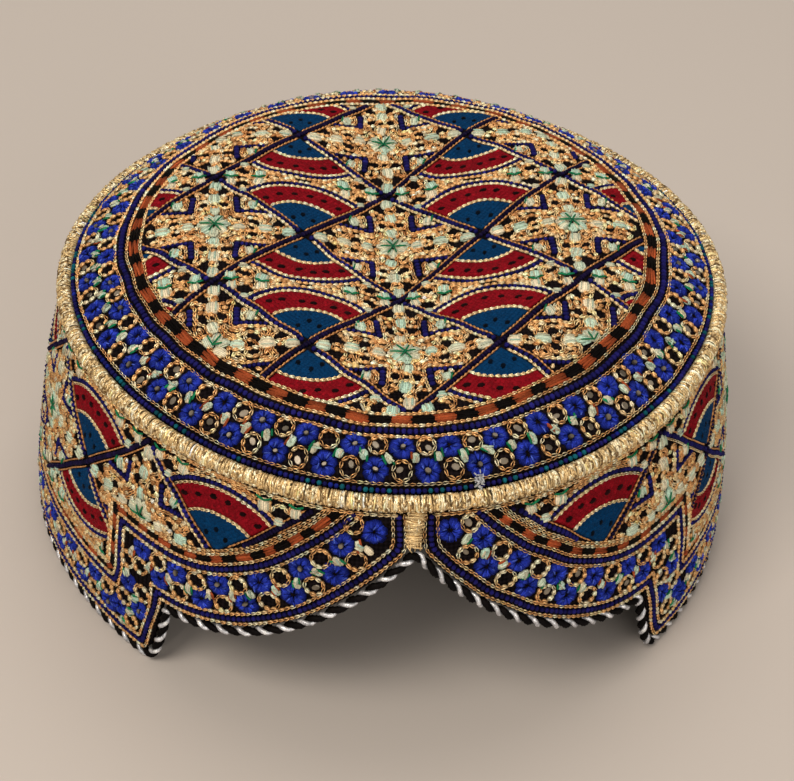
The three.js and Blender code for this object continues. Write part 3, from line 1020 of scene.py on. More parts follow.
def row_shape():
    """Plump stitch with a groove down its middle."""
    points, faces = grooved(-0.56, 0.0, 0.6)
    points.append((0.54, 0, 0.25))
    return points, faces + [(6, k, k + 1) for k in range(1, 5)] + [(0, 1, 5), (6, 5, 1)]


def petal_shape():
    """Satin petal, narrow inwards and blunt outwards, with a groove down its middle."""
    points, faces = grooved(-0.5, 0.1, 0.7)
    points += [(0.5, -0.26, 0.05), (0.5, 0.26, 0.05)]
    return points, faces + [(6, 1, 2), (6, 2, 3), (6, 3, 7), (7, 3, 4), (7, 4, 5), (0, 1, 5), (1, 6, 7, 5)]


def satin_shape():
    """Padded knot of parallel satin stitches."""
    section = ((-0.5, 0), (-0.34, 0.8), (-0.18, 0.72), (0, 1), (0.18, 0.72), (0.34, 0.8), (0.5, 0))
    points = []
    for x, wide, high in ((-0.5, 0.5, 0.3), (-0.22, 0.92, 0.92), (0.22, 0.92, 0.92), (0.5, 0.5, 0.3)):
        points += [(x, y * wide, z * high) for y, z in section]
    n = len(section)
    faces = [tuple(range(n)), tuple(range(3 * n, 4 * n))[::-1]]
    for k in range(3):
        for j in range(n - 1):
            faces.append((k * n + j, (k + 1) * n + j, (k + 1) * n + j + 1, k * n + j + 1))
        faces.append((k * n, k * n + n - 1, (k + 1) * n + n - 1, (k + 1) * n))
    return points, faces


def dome_shape(sides, shoulder, high):
    """Rounded knot standing on a flat base."""
    angles = [2 * math.pi * k / sides for k in range(sides)]
    points = [(0.5 * math.cos(a), 0.5 * math.sin(a), 0) for a in angles]
    points += [(0.5 * shoulder * math.cos(a), 0.5 * shoulder * math.sin(a), high) for a in angles]
    points.append((0, 0, 1))
    faces = [tuple(range(sides))[::-1]]
    for k in range(sides):
        n = (k + 1) % sides
        faces += [(k, n, sides + n, sides + k), (sides + k, sides + n, 2 * sides)]
    return points, faces


def bar_shape():
    """Straight laid thread with rounded shoulders."""
    section = ((-0.5, 0), (-0.3, 0.85), (0.3, 0.85), (0.5, 0))
    points = []
    for x, scale in ((-0.5, 0.55), (0, 1), (0.5, 0.55)):
        points += [(x, y * (0.8 + 0.2 * scale), z * scale) for y, z in section]
    faces = [(0, 1, 2, 3), (11, 10, 9, 8)]
    for k in (0, 4):
        for j in range(4):
            n = (j + 1) % 4
            faces.append((k + j, k + 4 + j, k + 4 + n, k + n))
    return points, faces


def plate_shape():
    """Flat mirror plate with a small bevel."""
    sides = 8
    points = []
    for radius, z in ((0.5, 0), (0.5, 0.7), (0.42, 1)):
        for k in range(sides):
            x, y = ray(2 * math.pi * (k + 0.5) / sides) * radius
            points.append((x, y, z))
    caps = [tuple(range(sides))[::-1], tuple(range(2 * sides, 3 * sides))]
    return points, caps + grid_faces(3, sides, True)


def turn_shape():
    """One closed turn of thread round a core, for unit radius."""
    sides = 10
    points, faces = [], []
    for k in range(sides):
        y, z = ray(2 * math.pi * k / sides)
        points += [(x, high * y, high * z) for x, high in ((-0.5, 0.93), (0.0, 1.06), (0.5, 0.93))]
        n = (k + 1) % sides
        for j in range(3):
            m = (j + 1) % 3
            faces.append((3 * k + j, 3 * n + j, 3 * n + m, 3 * k + m))
    return points, faces


def new_mesh(name, points, faces, smooth=True):
    """Mesh with its faces turned outwards."""
    mesh = bpy.data.meshes.new(name)
    mesh.from_pydata([tuple(p) for p in points], [], faces)
    work = bmesh.new()
    work.from_mesh(mesh)
    bmesh.ops.recalc_face_normals(work, faces=work.faces)
    work.to_mesh(mesh)
    work.free()
    for face in mesh.polygons:
        face.use_smooth = smooth
    return mesh


def new_object(name, mesh):
    """Object of a mesh, added to the scene."""
    piece = bpy.data.objects.new(name, mesh)
    bpy.context.scene.collection.objects.link(piece)
    return piece


def add_node(tree, kind, inputs=None, **settings):
    """New node of a tree; an input is joined when its value comes from another node, and otherwise set."""
    made = tree.nodes.new(kind)
    for key, value in settings.items():
        setattr(made, key, value)
    for key, value in (inputs or {}).items():
        if isinstance(value, bpy.types.NodeSocket):
            tree.links.new(value, made.inputs[key])
        else:
            made.inputs[key].default_value = value
    return made


def combine(tree, operation, *values):
    """Result of one mathematical operation on numbers or outputs of nodes."""
    return add_node(tree, "ShaderNodeMath", dict(enumerate(values)), operation=operation).outputs[0]


SEWING_INPUTS = {
    "Geometry": "NodeSocketGeometry",
    "Stitch shape": "NodeSocketObject",
    "Size change": "NodeSocketFloat",
    "Turn change": "NodeSocketFloat",
    "Seed": "NodeSocketInt",
    "Thread": "NodeSocketMaterial",
}


def sewing_tree():
    """Geometry Nodes that set one stitch shape on every queued place, with small seeded changes."""
    if "Sew stitches" in bpy.data.node_groups:
        return bpy.data.node_groups["Sew stitches"]
    tree = bpy.data.node_groups.new("Sew stitches", "GeometryNodeTree")
    for name, kind in SEWING_INPUTS.items():
        tree.interface.new_socket(name, in_out="INPUT", socket_type=kind)
    tree.interface.new_socket("Geometry", in_out="OUTPUT", socket_type="NodeSocketGeometry")

    def node(kind, inputs=None, **settings):
        """New node of this tree."""
        return add_node(tree, kind, inputs, **settings)

    def kept(name):
        """Value kept at every queued place."""
        reader = node("GeometryNodeInputNamedAttribute", {"Name": name}, data_type="FLOAT_VECTOR")
        return reader.outputs["Attribute"]

    entry = node("NodeGroupInput").outputs
    seed, sway, growth = entry["Seed"], entry["Turn change"], entry["Size change"]
    shape = node("GeometryNodeObjectInfo", {"Object": entry["Stitch shape"], "As Instance": True})
    axes = {"Primary Axis": kept("normal"), "Secondary Axis": kept("along")}
    facing = node("FunctionNodeAxesToRotation", axes, primary_axis="Z", secondary_axis="X")
    between = {2: combine(tree, "MULTIPLY", sway, -1.0), 3: sway, "Seed": seed}
    turn = node("FunctionNodeRandomValue", between, data_type="FLOAT")
    spin = node("FunctionNodeAxisAngleToRotation", {"Axis": (0, 0, 1), "Angle": turn.outputs[1]})
    both = {0: facing.outputs[0], 1: spin.outputs[0]}
    rotate = node("FunctionNodeRotateRotation", both, rotation_space="LOCAL")
    low, high = combine(tree, "SUBTRACT", 1.0, growth), combine(tree, "ADD", 1.0, growth)
    between = {0: low, 1: high, "Seed": combine(tree, "ADD", seed, 1.0)}
    change = node("FunctionNodeRandomValue", between, data_type="FLOAT_VECTOR")
    size = node("ShaderNodeVectorMath", {0: kept("size"), 1: change.outputs[0]}, operation="MULTIPLY")
    place = node("GeometryNodeInstanceOnPoints", {
        "Points": entry["Geometry"],
        "Instance": shape.outputs["Geometry"],
        "Rotation": rotate.outputs[0],
        "Scale": size.outputs[0],
    })
    real = node("GeometryNodeRealizeInstances", {0: place.outputs[0]})
    cover = node("GeometryNodeSetMaterial", {"Geometry": real.outputs[0], "Material": entry["Thread"]})
    node("NodeGroupOutput", {0: cover.outputs[0]})
    return tree


def set_inputs(modifier, **values):
    """Gives a Geometry Nodes modifier its inputs by the sockets' identifiers."""
    for item in modifier.node_group.interface.items_tree:
        key = item.name.replace(" ", "_").lower()
        if item.in_out == "INPUT" and key in values:
            modifier[item.identifier] = values[key]


def bake_nodes(piece):
    """Turns a piece's modifiers into a plain mesh."""
    graph = bpy.context.evaluated_depsgraph_get()
    done = piece.evaluated_get(graph)
    mesh = bpy.data.meshes.new_from_object(done, preserve_all_data_layers=True, depsgraph=graph)
    if not mesh.polygons:
        raise RuntimeError(piece.name + " came out empty")
    piece.modifiers.clear()
    piece.data = mesh
    return mesh


SHAPES = {
    "gold_links": link_shape,
    "gold_rows": row_shape,
    "gold_ground": lambda: link_shape(0.23),
    "gold_bars": bar_shape,
    "gold_turns": turn_shape,
    "silk_rows": row_shape,
    "silk_petals": petal_shape,
    "silk_beads": lambda: dome_shape(6, 0.84, 0.62),
    "silk_knots": satin_shape,
    "silk_bars": bar_shape,
    "mirrors": plate_shape,
}


# Random turn of the stitches in radians, and their random change of size as a share
STITCH_TURN = 0.1
GROUND_TURN = 0.28
STITCH_CHANGE = 0.1


def scatter(
    name, places, along, normal, size, colours, kind, seed, turn=STITCH_TURN, change=STITCH_CHANGE,
):
    """One mesh with a stitch shape set at every place; lengths in millimetres."""
    mesh = bpy.data.meshes.new(name)
    mesh.from_pydata((places * MM).tolist(), [], [])
    for key, values in (("along", along), ("normal", normal), ("size", size * MM)):
        layer = mesh.attributes.new(key, "FLOAT_VECTOR", "POINT")
        layer.data.foreach_set("vector", values.astype(np.float32).ravel())
    plain_tint(mesh, colours)
    piece = new_object(name, mesh)
    stitch = new_mesh("unit_" + kind, *SHAPES[kind](), smooth=kind != "mirrors")
    across = stitch.attributes.new("across", "FLOAT", "POINT")
    across.data.foreach_set("value", [point.co.y for point in stitch.vertices])
    shape = new_object("unit_" + kind, stitch)
    modifier = piece.modifiers.new("Sew", "NODES")
    modifier.node_group = sewing_tree()
    thread = thread_material(kind.split("_")[0])
    set_inputs(modifier, stitch_shape=shape, size_change=change, turn_change=turn, seed=seed, thread=thread)
    baked = bake_nodes(piece)
    bpy.data.objects.remove(shape)
    for key in ("along", "normal", "size"):
        if key in baked.attributes:
            baked.attributes.remove(baked.attributes[key])
    return piece


def sew_panel(panel):
    """Turns a panel's queued stitches into meshes, one piece for each kind."""
    made = []
    for number, (kind, rows) in enumerate(sorted(panel.waiting.items())):
        data = np.vstack(rows)
        uv = data[:, :2]
        east, north, normal = panel.directions(uv)
        along = east * data[:, 2:3] + north * data[:, 3:4]
        places = panel.place(uv) + normal * data[:, 10:11]
        turn = GROUND_TURN if kind == "gold_ground" else STITCH_TURN
        name = panel.name + "_" + kind
        piece = scatter(name, places, along, normal, data[:, 4:7], data[:, 7:10], kind, number, turn)
        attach(piece, BODY)
        made.append(piece)
    return made


def shader(name, roughness=0.5, metallic=0.0, gloss=0.5):
    """New material with a principled surface, its node tree and its surface node."""
    material = bpy.data.materials.new(name)
    material.use_nodes = True
    surface = material.node_tree.nodes["Principled BSDF"]
    surface.inputs["Roughness"].default_value = roughness
    surface.inputs["Metallic"].default_value = metallic
    surface.inputs["Specular IOR Level"].default_value = gloss
    return material, material.node_tree, surface.inputs


def noise(tree, scale, detail=2.0):
    """Noise in object space; the scale is in features for each metre."""
    place = add_node(tree, "ShaderNodeTexCoord").outputs["Object"]
    settings = {"Vector": place, "Scale": scale, "Detail": detail}
    return add_node(tree, "ShaderNodeTexNoise", settings).outputs["Fac"]


def remap(tree, value, low, high, to_low, to_high):
    """Value moved from one range to another."""
    ends = {"Value": value, "From Min": low, "From Max": high, "To Min": to_low, "To Max": to_high}
    return add_node(tree, "ShaderNodeMapRange", ends).outputs["Result"]


def tinted(tree, brightness):
    """The thread's own colour times a brightness."""
    tint = add_node(tree, "ShaderNodeAttribute", attribute_name="tint").outputs["Color"]
    parts = {"Factor": 1.0, "A": tint, "B": brightness}
    return add_node(tree, "ShaderNodeMix", parts, data_type="RGBA", blend_type="MULTIPLY").outputs["Result"]


def bump(tree, inputs, height, distance, strength):
    """Fine relief on a surface."""
    settings = {"Strength": strength, "Distance": distance, "Height": height}
    tree.links.new(add_node(tree, "ShaderNodeBump", settings).outputs[0], inputs["Normal"])


def strands(tree, count):
    """Ridges of the single strands that lie side by side in a stitch, from -1 to 1."""
    across = add_node(tree, "ShaderNodeAttribute", attribute_name="across").outputs["Fac"]
    return combine(tree, "SINE", combine(tree, "MULTIPLY", across, 2 * math.pi * count))


def gold_thread():
    """Metal-wrapped thread that glints where its strip turns."""
    material, tree, inputs = shader("gold_thread", 0.32, 0.5)
    fine = noise(tree, 2600)
    tree.links.new(tinted(tree, remap(tree, fine, 0.3, 0.7, 0.7, 1.4)), inputs["Base Color"])
    tree.links.new(remap(tree, noise(tree, 1400), 0.35, 0.65, 0.2, 0.5), inputs["Roughness"])
    bump(tree, inputs, fine, 0.00012, 0.7)
    return material


def silk_thread():
    """Soft floss: fine strands side by side, with painted shade in the grooves between them and an uneven
    tone.
    """
    material, tree, inputs = shader("silk_thread", 0.6, 0.0, 0.06)
    fine = noise(tree, 2200, 3)
    ridge = strands(tree, 7)
    cloud = remap(tree, fine, 0.3, 0.7, 0.74, 1.22)
    # The strand ridges darken the colour in the grooves between strands: painted shade, beside the bump; the
    # cloud noise is the floss's uneven tone
    light = combine(tree, "MULTIPLY", cloud, remap(tree, ridge, -1, 1, 0.72, 1.16))
    tree.links.new(tinted(tree, light), inputs["Base Color"])
    bump(tree, inputs, combine(tree, "ADD", fine, remap(tree, ridge, -1, 1, 0, 0.6)), 0.00016, 0.8)
    return material


def mirror_plate():
    """Small cut mirror, slightly dull; its grey-brown tint is a painted reflection of the room."""
    material, tree, inputs = shader("mirror_plate", 0.3, 0.55)
    tree.links.new(tinted(tree, remap(tree, noise(tree, 500), 0.3, 0.7, 0.8, 1.3)), inputs["Base Color"])
    return material


def ground_cloth():
    """Black cotton with a fine weave."""
    material, tree, inputs = shader("ground_cloth", 0.9, 0.0, 0.02)
    place = add_node(tree, "ShaderNodeTexCoord").outputs["Object"]
    ways = {"Vector": place, "Scale": 300, "Distortion": 1.5}
    waves = [add_node(tree, "ShaderNodeTexWave", ways, bands_direction=axis) for axis in "XYZ"]
    x, y, z = (wave.outputs["Fac"] for wave in waves)
    weave = combine(tree, "ADD", combine(tree, "ADD", x, y), z)
    dark, light = (0.003, 0.002, 0.0024, 1), (0.010, 0.007, 0.008, 1)
    parts = {"Factor": remap(tree, weave, 0.6, 2.4, 0, 1), "A": dark, "B": light}
    colour = add_node(tree, "ShaderNodeMix", parts, data_type="RGBA").outputs["Result"]
    tree.links.new(colour, inputs["Base Color"])
    bump(tree, inputs, weave, 0.0002, 0.5)
    return material


# Materials by the first word of a stitch kind; each is called like the function that makes it
MATERIALS = {"gold": gold_thread, "silk": silk_thread, "mirrors": mirror_plate, "cloth": ground_cloth}


def thread_material(word):
    """The material of a thread, made when it is first asked for."""
    maker = MATERIALS[word]
    return bpy.data.materials.get(maker.__name__) or maker()


def grid_faces(rows, columns, wrap):
    """Quads of a grid of points laid out row by row."""
    faces = []
    for i in range(rows - 1):
        for j in range(columns if wrap else columns - 1):
            n = (j + 1) % columns
            faces.append((i * columns + j, i * columns + n, (i + 1) * columns + n, (i + 1) * columns + j))
    return faces


# Crown cloth: shares of the rim's radius, drop of the turned-down edge, and its thickness and clearance
CROWN_INNER = 0.03
CROWN_OUTER = 0.945
SKIRT_DROP = 5.0
SKIRT_CLOTH = 1.6
SKIRT_CLEAR = CLOTH + GAP + 0.1


def crown_cloth_mesh():
    """Domed disc with a turned-down edge, hollow below."""
    columns = 180
    phi = even_angles(columns)
    rim = rim_radius(phi)
    steps = np.linspace(CROWN_INNER, CROWN_OUTER, 34)
    top_edge = rim - WALL_TOP

    def face(radius, under):
        """One ring of the domed disc, at a depth below its top face."""
        points = crown_place(np.stack([radius * np.sin(phi), -radius * np.cos(phi)], 1))
        points[:, 2] -= under
        return points

    below = rim * flare(np.full(columns, WALL_TOP)) - SKIRT_CLEAR
    low = rim * flare(np.full(columns, SKIRT_DROP)) - SKIRT_CLEAR
    rings = [face(rim * s, 0) for s in steps] + [face(top_edge, 0)]
    for radius, drop in (
        (top_edge, 0), (top_edge + 0.4, SKIRT_CLOTH), (below, WALL_TOP), (low, SKIRT_DROP),
        (low - SKIRT_CLOTH, SKIRT_DROP), (below - SKIRT_CLOTH, WALL_TOP),
    ):
        rings.append(round_middle(phi, radius, drop))
    rings += [face(rim * s, GROUND_CLOTH) for s in steps[::-1]]
    middle = crown_place(np.zeros((1, 2)))
    points = np.vstack(rings + [middle, middle - (0, 0, GROUND_CLOTH)])
    faces = grid_faces(len(rings), columns, True)
    top = len(points) - 2
    last = (len(rings) - 1) * columns
    for j in range(columns):
        n = (j + 1) % columns
        faces += [(top, j, n), (top + 1, last + n, last + j)]
    return points, faces


def wall_directions(phi, drop):
    """The way out of the wall's cloth at places on it."""
    step = 0.002
    across = wall(phi + step, drop) - wall(phi - step, drop)
    down = wall(phi, drop + 0.2) - wall(phi, drop - 0.2)
    return unit(np.cross(down, across))


def wall_slab(phi, drop, lift):
    """Closed slab of the wall between a lift above the cloth's face and its inner face."""
    out = wall_directions(phi, drop)
    outer = wall(phi, drop) + out * lift
    inner = wall(phi, drop) - out * GROUND_CLOTH
    rows, count = drop.shape
    points = np.vstack([outer.reshape(-1, 3), inner[::-1].reshape(-1, 3)])
    faces = grid_faces(2 * rows, count, False)
    last = (2 * rows - 1) * count
    faces += [(last + j, last + j + 1, j + 1, j) for j in range(count - 1)]
    for j in (0, count - 1):
        for i in range(rows - 1):
            corners = (i, i + 1, 2 * rows - 2 - i, 2 * rows - 1 - i)
            faces.append(tuple(row * count + j for row in corners))
    return points, faces


def wall_cloth_mesh():
    """Flaring wall with its stepped and arched lower edge."""
    slot = math.degrees((SEAM_WIDTH / 2 + GAP) / RIM_RADIUS)
    near = np.linspace(slot, NOTCH_DEG, 60)[:-1]
    step = np.linspace(NOTCH_DEG, TIP_DEG, 16)[:-1]
    far = np.linspace(TIP_DEG, 180, 80)
    half = np.concatenate([near, step, far])
    phi = np.radians(np.concatenate([half, 360 - half[-2::-1]]))
    share = np.linspace(0, 1, 16)
    drop = WALL_TOP + (edge_drop(phi)[None, :] - WALL_TOP) * share[:, None]
    return wall_slab(np.broadcast_to(phi[None, :], drop.shape), drop, 0.0)


def hem_path(step):
    """Centre line of the hem cord, with the cloth's outward direction at each point."""
    near = np.linspace(0.05, NOTCH_DEG, 240)[:-1]
    notch = np.linspace(NOTCH_DEG, TIP_DEG, 90)[:-1]
    fine = np.concatenate([near, notch, np.linspace(TIP_DEG, 180, 300)])
    phi = np.radians(np.concatenate([fine, 360 - fine[-2::-1]]))
    small = 0.0008
    drop = edge_drop(phi)
    normal = wall_directions(phi, drop)
    middle = wall(phi, drop) + normal * (SEWN - CLOTH / 2)
    along = unit(wall(phi + small, edge_drop(phi + small)) - wall(phi - small, edge_drop(phi - small)))
    away = unit(np.cross(along, normal))
    flip = (away[:, 2] > 0) & (np.abs(away[:, 2]) > np.abs(along[:, 2]))
    away[flip] *= -1
    offset = GAP + HEM_HALF
    centre = middle + away * offset
    gap = np.array([np.linalg.norm(middle - c, axis=1).min() for c in centre])
    kept = gap > offset - 0.03
    centre, normal = centre[kept], normal[kept]
    centre[:, 2] = np.maximum(centre[:, 2], HEM_HALF)
    closed = looped(centre)
    run = run_along(closed)
    marks = np.linspace(0, run[-1], round(run[-1] / step) + 1)[:-1]
    even = at_marks(marks, run, closed)
    out = at_marks(marks, run, looped(normal))
    out[:, 2] = 0
    for _ in range(6):
        even = (np.roll(even, 1, 0) + even * 2 + np.roll(even, -1, 0)) / 4
    even[:, 2] = np.maximum(even[:, 2], HEM_HALF)
    return even, unit(out), run[-1]


STRAND_SIDES = 6


def ply_mesh(centres, outs, turns, phase, lay, radius):
    """One strand wound round a closed centre line."""
    along = unit(np.roll(centres, -1, 0) - np.roll(centres, 1, 0))
    out = unit(outs - (outs * along).sum(1)[:, None] * along)
    up = np.cross(along, out)
    count, sides = len(centres), STRAND_SIDES
    theta = phase + 2 * np.pi * turns * np.arange(count) / count
    radial = np.cos(theta)[:, None] * out + np.sin(theta)[:, None] * up
    path = centres + radial * lay
    side = np.cross(unit(np.roll(path, -1, 0) - np.roll(path, 1, 0)), radial)
    rings = []
    for k in range(sides):
        a = 2 * math.pi * k / sides
        rings.append(path + radial * radius * math.cos(a) + side * radius * math.sin(a))
    faces = []
    for i in range(count):
        n = (i + 1) % count
        for k in range(sides):
            m = (k + 1) % sides
            faces.append((i * sides + k, n * sides + k, n * sides + m, i * sides + m))
    return np.stack(rings, 1).reshape(-1, 3), faces


def plain_tint(mesh, colours):
    """Keeps a colour at every point of a mesh."""
    layer = mesh.attributes.new("tint", "FLOAT_COLOR", "POINT")
    rgba = np.column_stack([np.clip(colours, 0, 1), np.ones(len(colours))])
    layer.data.foreach_set("color", rgba.astype(np.float32).ravel())


def finish_piece(piece, word, slot, *nodes):
    """Gives a piece its material and its body, and hides the solids that it stands for; the slot is not
    used.
    """
    piece.data.materials.clear()
    piece.data.materials.append(thread_material(word))
    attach(piece, BODY)
    if nodes:
        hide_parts(*nodes)


def sized(label, description, default, low, high):
    """Length setting, in metres."""
    return bpy.props.FloatProperty(
        name=label, description=description, default=default, min=low, max=high,
        unit="LENGTH", precision=5,
    )


class CapSizes(bpy.types.PropertyGroup):
    """Sizes that change how the cap is sewn."""

    ply_pitch: sized("Ply pitch", "Length of one full twist of the hem cord", 0.0058, 0.003, 0.02)
    wind_pitch: sized("Winding pitch", "Distance between turns on the rim cord", 0.00052, 0.0003, 0.003)
    row_width: sized("Ground row", "Width of one row of gold chain in the ground", 0.00085, 0.0006, 0.002)
    crown_flower_gap: sized("Crown flowers", "Distance between flowers of the crown", 0.00555, 0.004, 0.01)
    wall_flower_gap: sized("Side flowers", "Distance between flowers of the side", 0.006, 0.004, 0.01)
    floor_size: sized("Floor size", "Side of the square floor", 6.0, 1.0, 20.0)


def dyed(key, label):
    """Colour setting that starts as the cap's own thread."""
    return bpy.props.FloatVectorProperty(
        name=label, description=label + " colour", default=tuple(THREAD[key]),
        min=0, max=1, subtype="COLOR",
    )


class CapColours(bpy.types.PropertyGroup):
    """Colours of the threads and of the floor."""

    gold: dyed("gold", "Gold thread")
    rim: dyed("rim", "Rim cord thread")
    crimson: dyed("crimson", "Fan band silk")
    teal: dyed("teal", "Fan lobe silk")
    blue: dyed("blue", "Flower silk")
    navy: dyed("navy", "Line silk")
    cream: dyed("cream", "Cream knot silk")
    mint: dyed("mint", "Mint knot silk")
    green: dyed("green", "Green stitch silk")
    rust: dyed("rust", "Check silk")
    silver: dyed("silver", "Hem cord silver")
    floor: bpy.props.FloatVectorProperty(
        name="Floor", description="Colour of the plain floor",
        default=(0.555, 0.495, 0.45), min=0, max=1, subtype="COLOR",
    )


def dye(context):
    """Takes the thread colours from the settings."""
    colours = context.scene.cap_colours
    for key in colours.bl_rna.properties.keys():
        if key in THREAD:
            THREAD[key] = np.array(getattr(colours, key))


class CAP_OT_cloth(bpy.types.Operator):
    """Makes the black ground cloth of the crown and of the side wall"""

    bl_idname = "cap.cloth"
    bl_label = "Ground cloth"

    def execute(self, context):
        for name, slot, maker in (
            ("crown_cloth", "crown", crown_cloth_mesh), ("side_band_cloth", "side_band", wall_cloth_mesh),
        ):
            points, faces = maker()
            piece = new_object(name, new_mesh(name, points * MM, faces))
            finish_piece(piece, "cloth", slot, slot)
        return {"FINISHED"}


class CAP_OT_crown_stitches(bpy.types.Operator):
    """Sews the crown's net, stars, fans and flower border"""

    bl_idname = "cap.crown_stitches"
    bl_label = "Crown embroidery"

    def execute(self, context):
        dye(context)
        sew_panel(crown_panel(context.scene.cap_sizes))
        return {"FINISHED"}


class CAP_OT_band_stitches(bpy.types.Operator):
    """Sews the side wall's net, stars, fans and lower borders"""

    bl_idname = "cap.band_stitches"
    bl_label = "Side embroidery"

    def execute(self, context):
        dye(context)
        sew_panel(band_panel(context.scene.cap_sizes))
        return {"FINISHED"}


# Rim cord: number of loose strands over the winding, and the angles round the cord between which they lie
RIM_STRANDS = 3600
ROLL_LOW = -1.3
ROLL_HIGH = 2.0


def rim_line(phi):
    """Points of the rim cord's centre line and the way along it."""
    step = 0.002
    ahead, back = (round_middle(a, rim_radius(a)) for a in (phi + step, phi - step))
    return round_middle(phi, rim_radius(phi)), ahead - back


def rim_winding(pitch):
    """Turns of thread side by side along the rim cord."""
    count = round(2 * math.pi * RIM_RADIUS / pitch)
    phi = even_angles(count)
    out = np.stack([np.sin(phi), -np.cos(phi), np.zeros(count)], 1)
    random = np.random.default_rng(21)
    high = CORD_HALF * 0.93 * random.uniform(0.94, 1.04, (count, 2))
    size = np.column_stack([np.full(count, pitch * 1.3), high])
    pick = random.uniform(0, 1, (count, 1))
    shade = np.exp(random.normal(0, 0.27, (count, 1)))
    # Over a quarter of the turns take the glint colour: painted glints on the winding; the random lightness
    # is uneven tone
    colours = np.where(pick < 0.72, THREAD["rim"], THREAD["painted_glint"]) * shade
    places, along = rim_line(phi)
    return scatter(
        "rim_cord_winding", places, along, out, size, colours, "gold_turns", 21, turn=0.16, change=0.03,
    )


def rim_strands():
    """Short strands of many slants that lie over the winding."""
    count = RIM_STRANDS
    random = np.random.default_rng(22)
    phi = random.uniform(0, 2 * np.pi, count)
    roll = random.uniform(ROLL_LOW, ROLL_HIGH, count)[:, None]
    places, along = rim_line(phi)
    along = unit(along)
    out = np.stack([np.sin(phi), -np.cos(phi), np.zeros(count)], 1)
    up = np.cross(out, along)
    up *= np.sign(up[:, 2:3])
    normal = out * np.cos(roll) + up * np.sin(roll)
    round_way = up * np.cos(roll) - out * np.sin(roll)
    slant = random.normal(0.0, 0.45, count)[:, None]
    way = round_way * np.cos(slant) + along * np.sin(slant)
    long, wide = random.uniform(1.0, 1.9, count), random.uniform(0.42, 0.8, count)
    size = np.stack([long, wide, np.full(count, 0.5)], 1)
    places = places + normal * CORD_HALF * 0.86
    # Half the strands take the rim thread; the rest are painted glints and, fewer, painted shade in the gaps
    # of the cord
    pick = random.uniform(0, 1, (count, 1))
    glint_and_shade = np.where(pick < 0.82, THREAD["painted_glint"], THREAD["rim_shade"])
    colours = np.where(pick < 0.5, THREAD["rim"], glint_and_shade)
    return scatter("rim_cord_strands", places, way, normal, size, colours, "gold_rows", 23)


class CAP_OT_rim_cord(bpy.types.Operator):
    """Winds pale gold thread round the cord between crown and side"""

    bl_idname = "cap.rim_cord"
    bl_label = "Rim cord"

    def execute(self, context):
        dye(context)
        finish_piece(rim_winding(context.scene.cap_sizes.wind_pitch / MM), "gold", "rim_cord", "rim_cord")
        finish_piece(rim_strands(), "gold", "rim_cord")
        return {"FINISHED"}


def seam_panel():
    """Strip over the front seam: two layers of bars across it and a few loose strands along it."""
    random = np.random.default_rng(31)
    panel = Panel("front_seam", wall_place, wall_inside, (-4, -16), (4, -2), 31)
    top, bottom = WALL_TOP - 0.3, PEAK_DROP + 0.4
    for layer in range(2):
        drop = np.arange(top + 0.25 * layer, bottom, 0.5)
        count = len(drop)
        way = np.stack([np.ones(count), random.normal(0, 0.16, count)], 1)
        narrow = 1 - 0.26 * (drop - top) / (bottom - top)
        long = (SEAM_WIDTH + random.uniform(-0.9, 0.1, count)) * narrow
        size = np.stack([long, random.uniform(0.4, 0.66, count), random.uniform(0.7, 1.1, count)], 1)
        uv = np.stack([random.normal(0, 0.18, count), -drop + random.normal(0, 0.08, count)], 1)
        panel.add("gold_bars", uv, way, size, THREAD["rim"], lift=0.2 + 0.35 * layer, shade=0.2)
    for k in range(26):
        spot = (random.normal(0, 0.9), -random.uniform(top + 0.5, bottom + 0.4))
        size = (random.uniform(1.2, 2.4), 0.32, 0.4)
        # Every third loose strand takes the glint colour: painted glints
        colour = THREAD["rim" if k % 3 else "painted_glint"]
        panel.add("gold_bars", spot, (random.normal(0, 0.7), 1), size, colour, lift=0.85, shade=0.2)
    return panel


class CAP_OT_front_seam(bpy.types.Operator):
    """Lays the wound gold strip over the centre front seam"""

    bl_idname = "cap.front_seam"
    bl_label = "Front seam"

    def execute(self, context):
        dye(context)
        strips = sew_panel(seam_panel())
        slot = (SEAM_WIDTH / 2) / RIM_RADIUS
        phi, drop = np.meshgrid(np.linspace(-slot, slot, 9), np.linspace(WALL_TOP, PEAK_DROP, 9))
        points, faces = wall_slab(phi, drop, SEWN / 2)
        core = new_object("front_seam_core", new_mesh("front_seam_core", points * MM, faces))
        finish_piece(core, "cloth", "front_seam")
        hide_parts("front_seam")
        return {"FINISHED"}


# The two strands of the hem cord: their place in the twist, distance from its middle, radius and shading
HEM_STRANDS = (
    {"colour": "black", "thread": "silk", "phase": 0.0, "lay": 0.46, "radius": 0.92, "shade": 0.25},
    {"colour": "silver", "thread": "gold", "phase": math.pi, "lay": 0.75, "radius": 0.62, "shade": 0.3},
)


class CAP_OT_hem_cord(bpy.types.Operator):
    """Twists a black and a silver strand along the whole lower edge"""

    bl_idname = "cap.hem_cord"
    bl_label = "Hem cord"

    def execute(self, context):
        dye(context)
        centres, outs, length = hem_path(0.5)
        count = len(centres)
        turns = round(length * MM / context.scene.cap_sizes.ply_pitch)
        random = np.random.default_rng(41)
        for strand in HEM_STRANDS:
            name = "hem_cord_" + strand["colour"]
            thick = strand["radius"] * random.uniform(0.88, 1.0, count)[:, None]
            points, faces = ply_mesh(centres, outs, turns, strand["phase"], strand["lay"], thick)
            mesh = new_mesh(name, points * MM, faces)
            shade = np.repeat(np.exp(random.normal(0, strand["shade"], count)), STRAND_SIDES)[:, None]
            plain_tint(mesh, THREAD[strand["colour"]] * shade)
            piece = new_object(name, mesh)
            finish_piece(piece, strand["thread"], "hem_cord")
            if strand["thread"] == "silk":
                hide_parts("hem_cord")
        return {"FINISHED"}


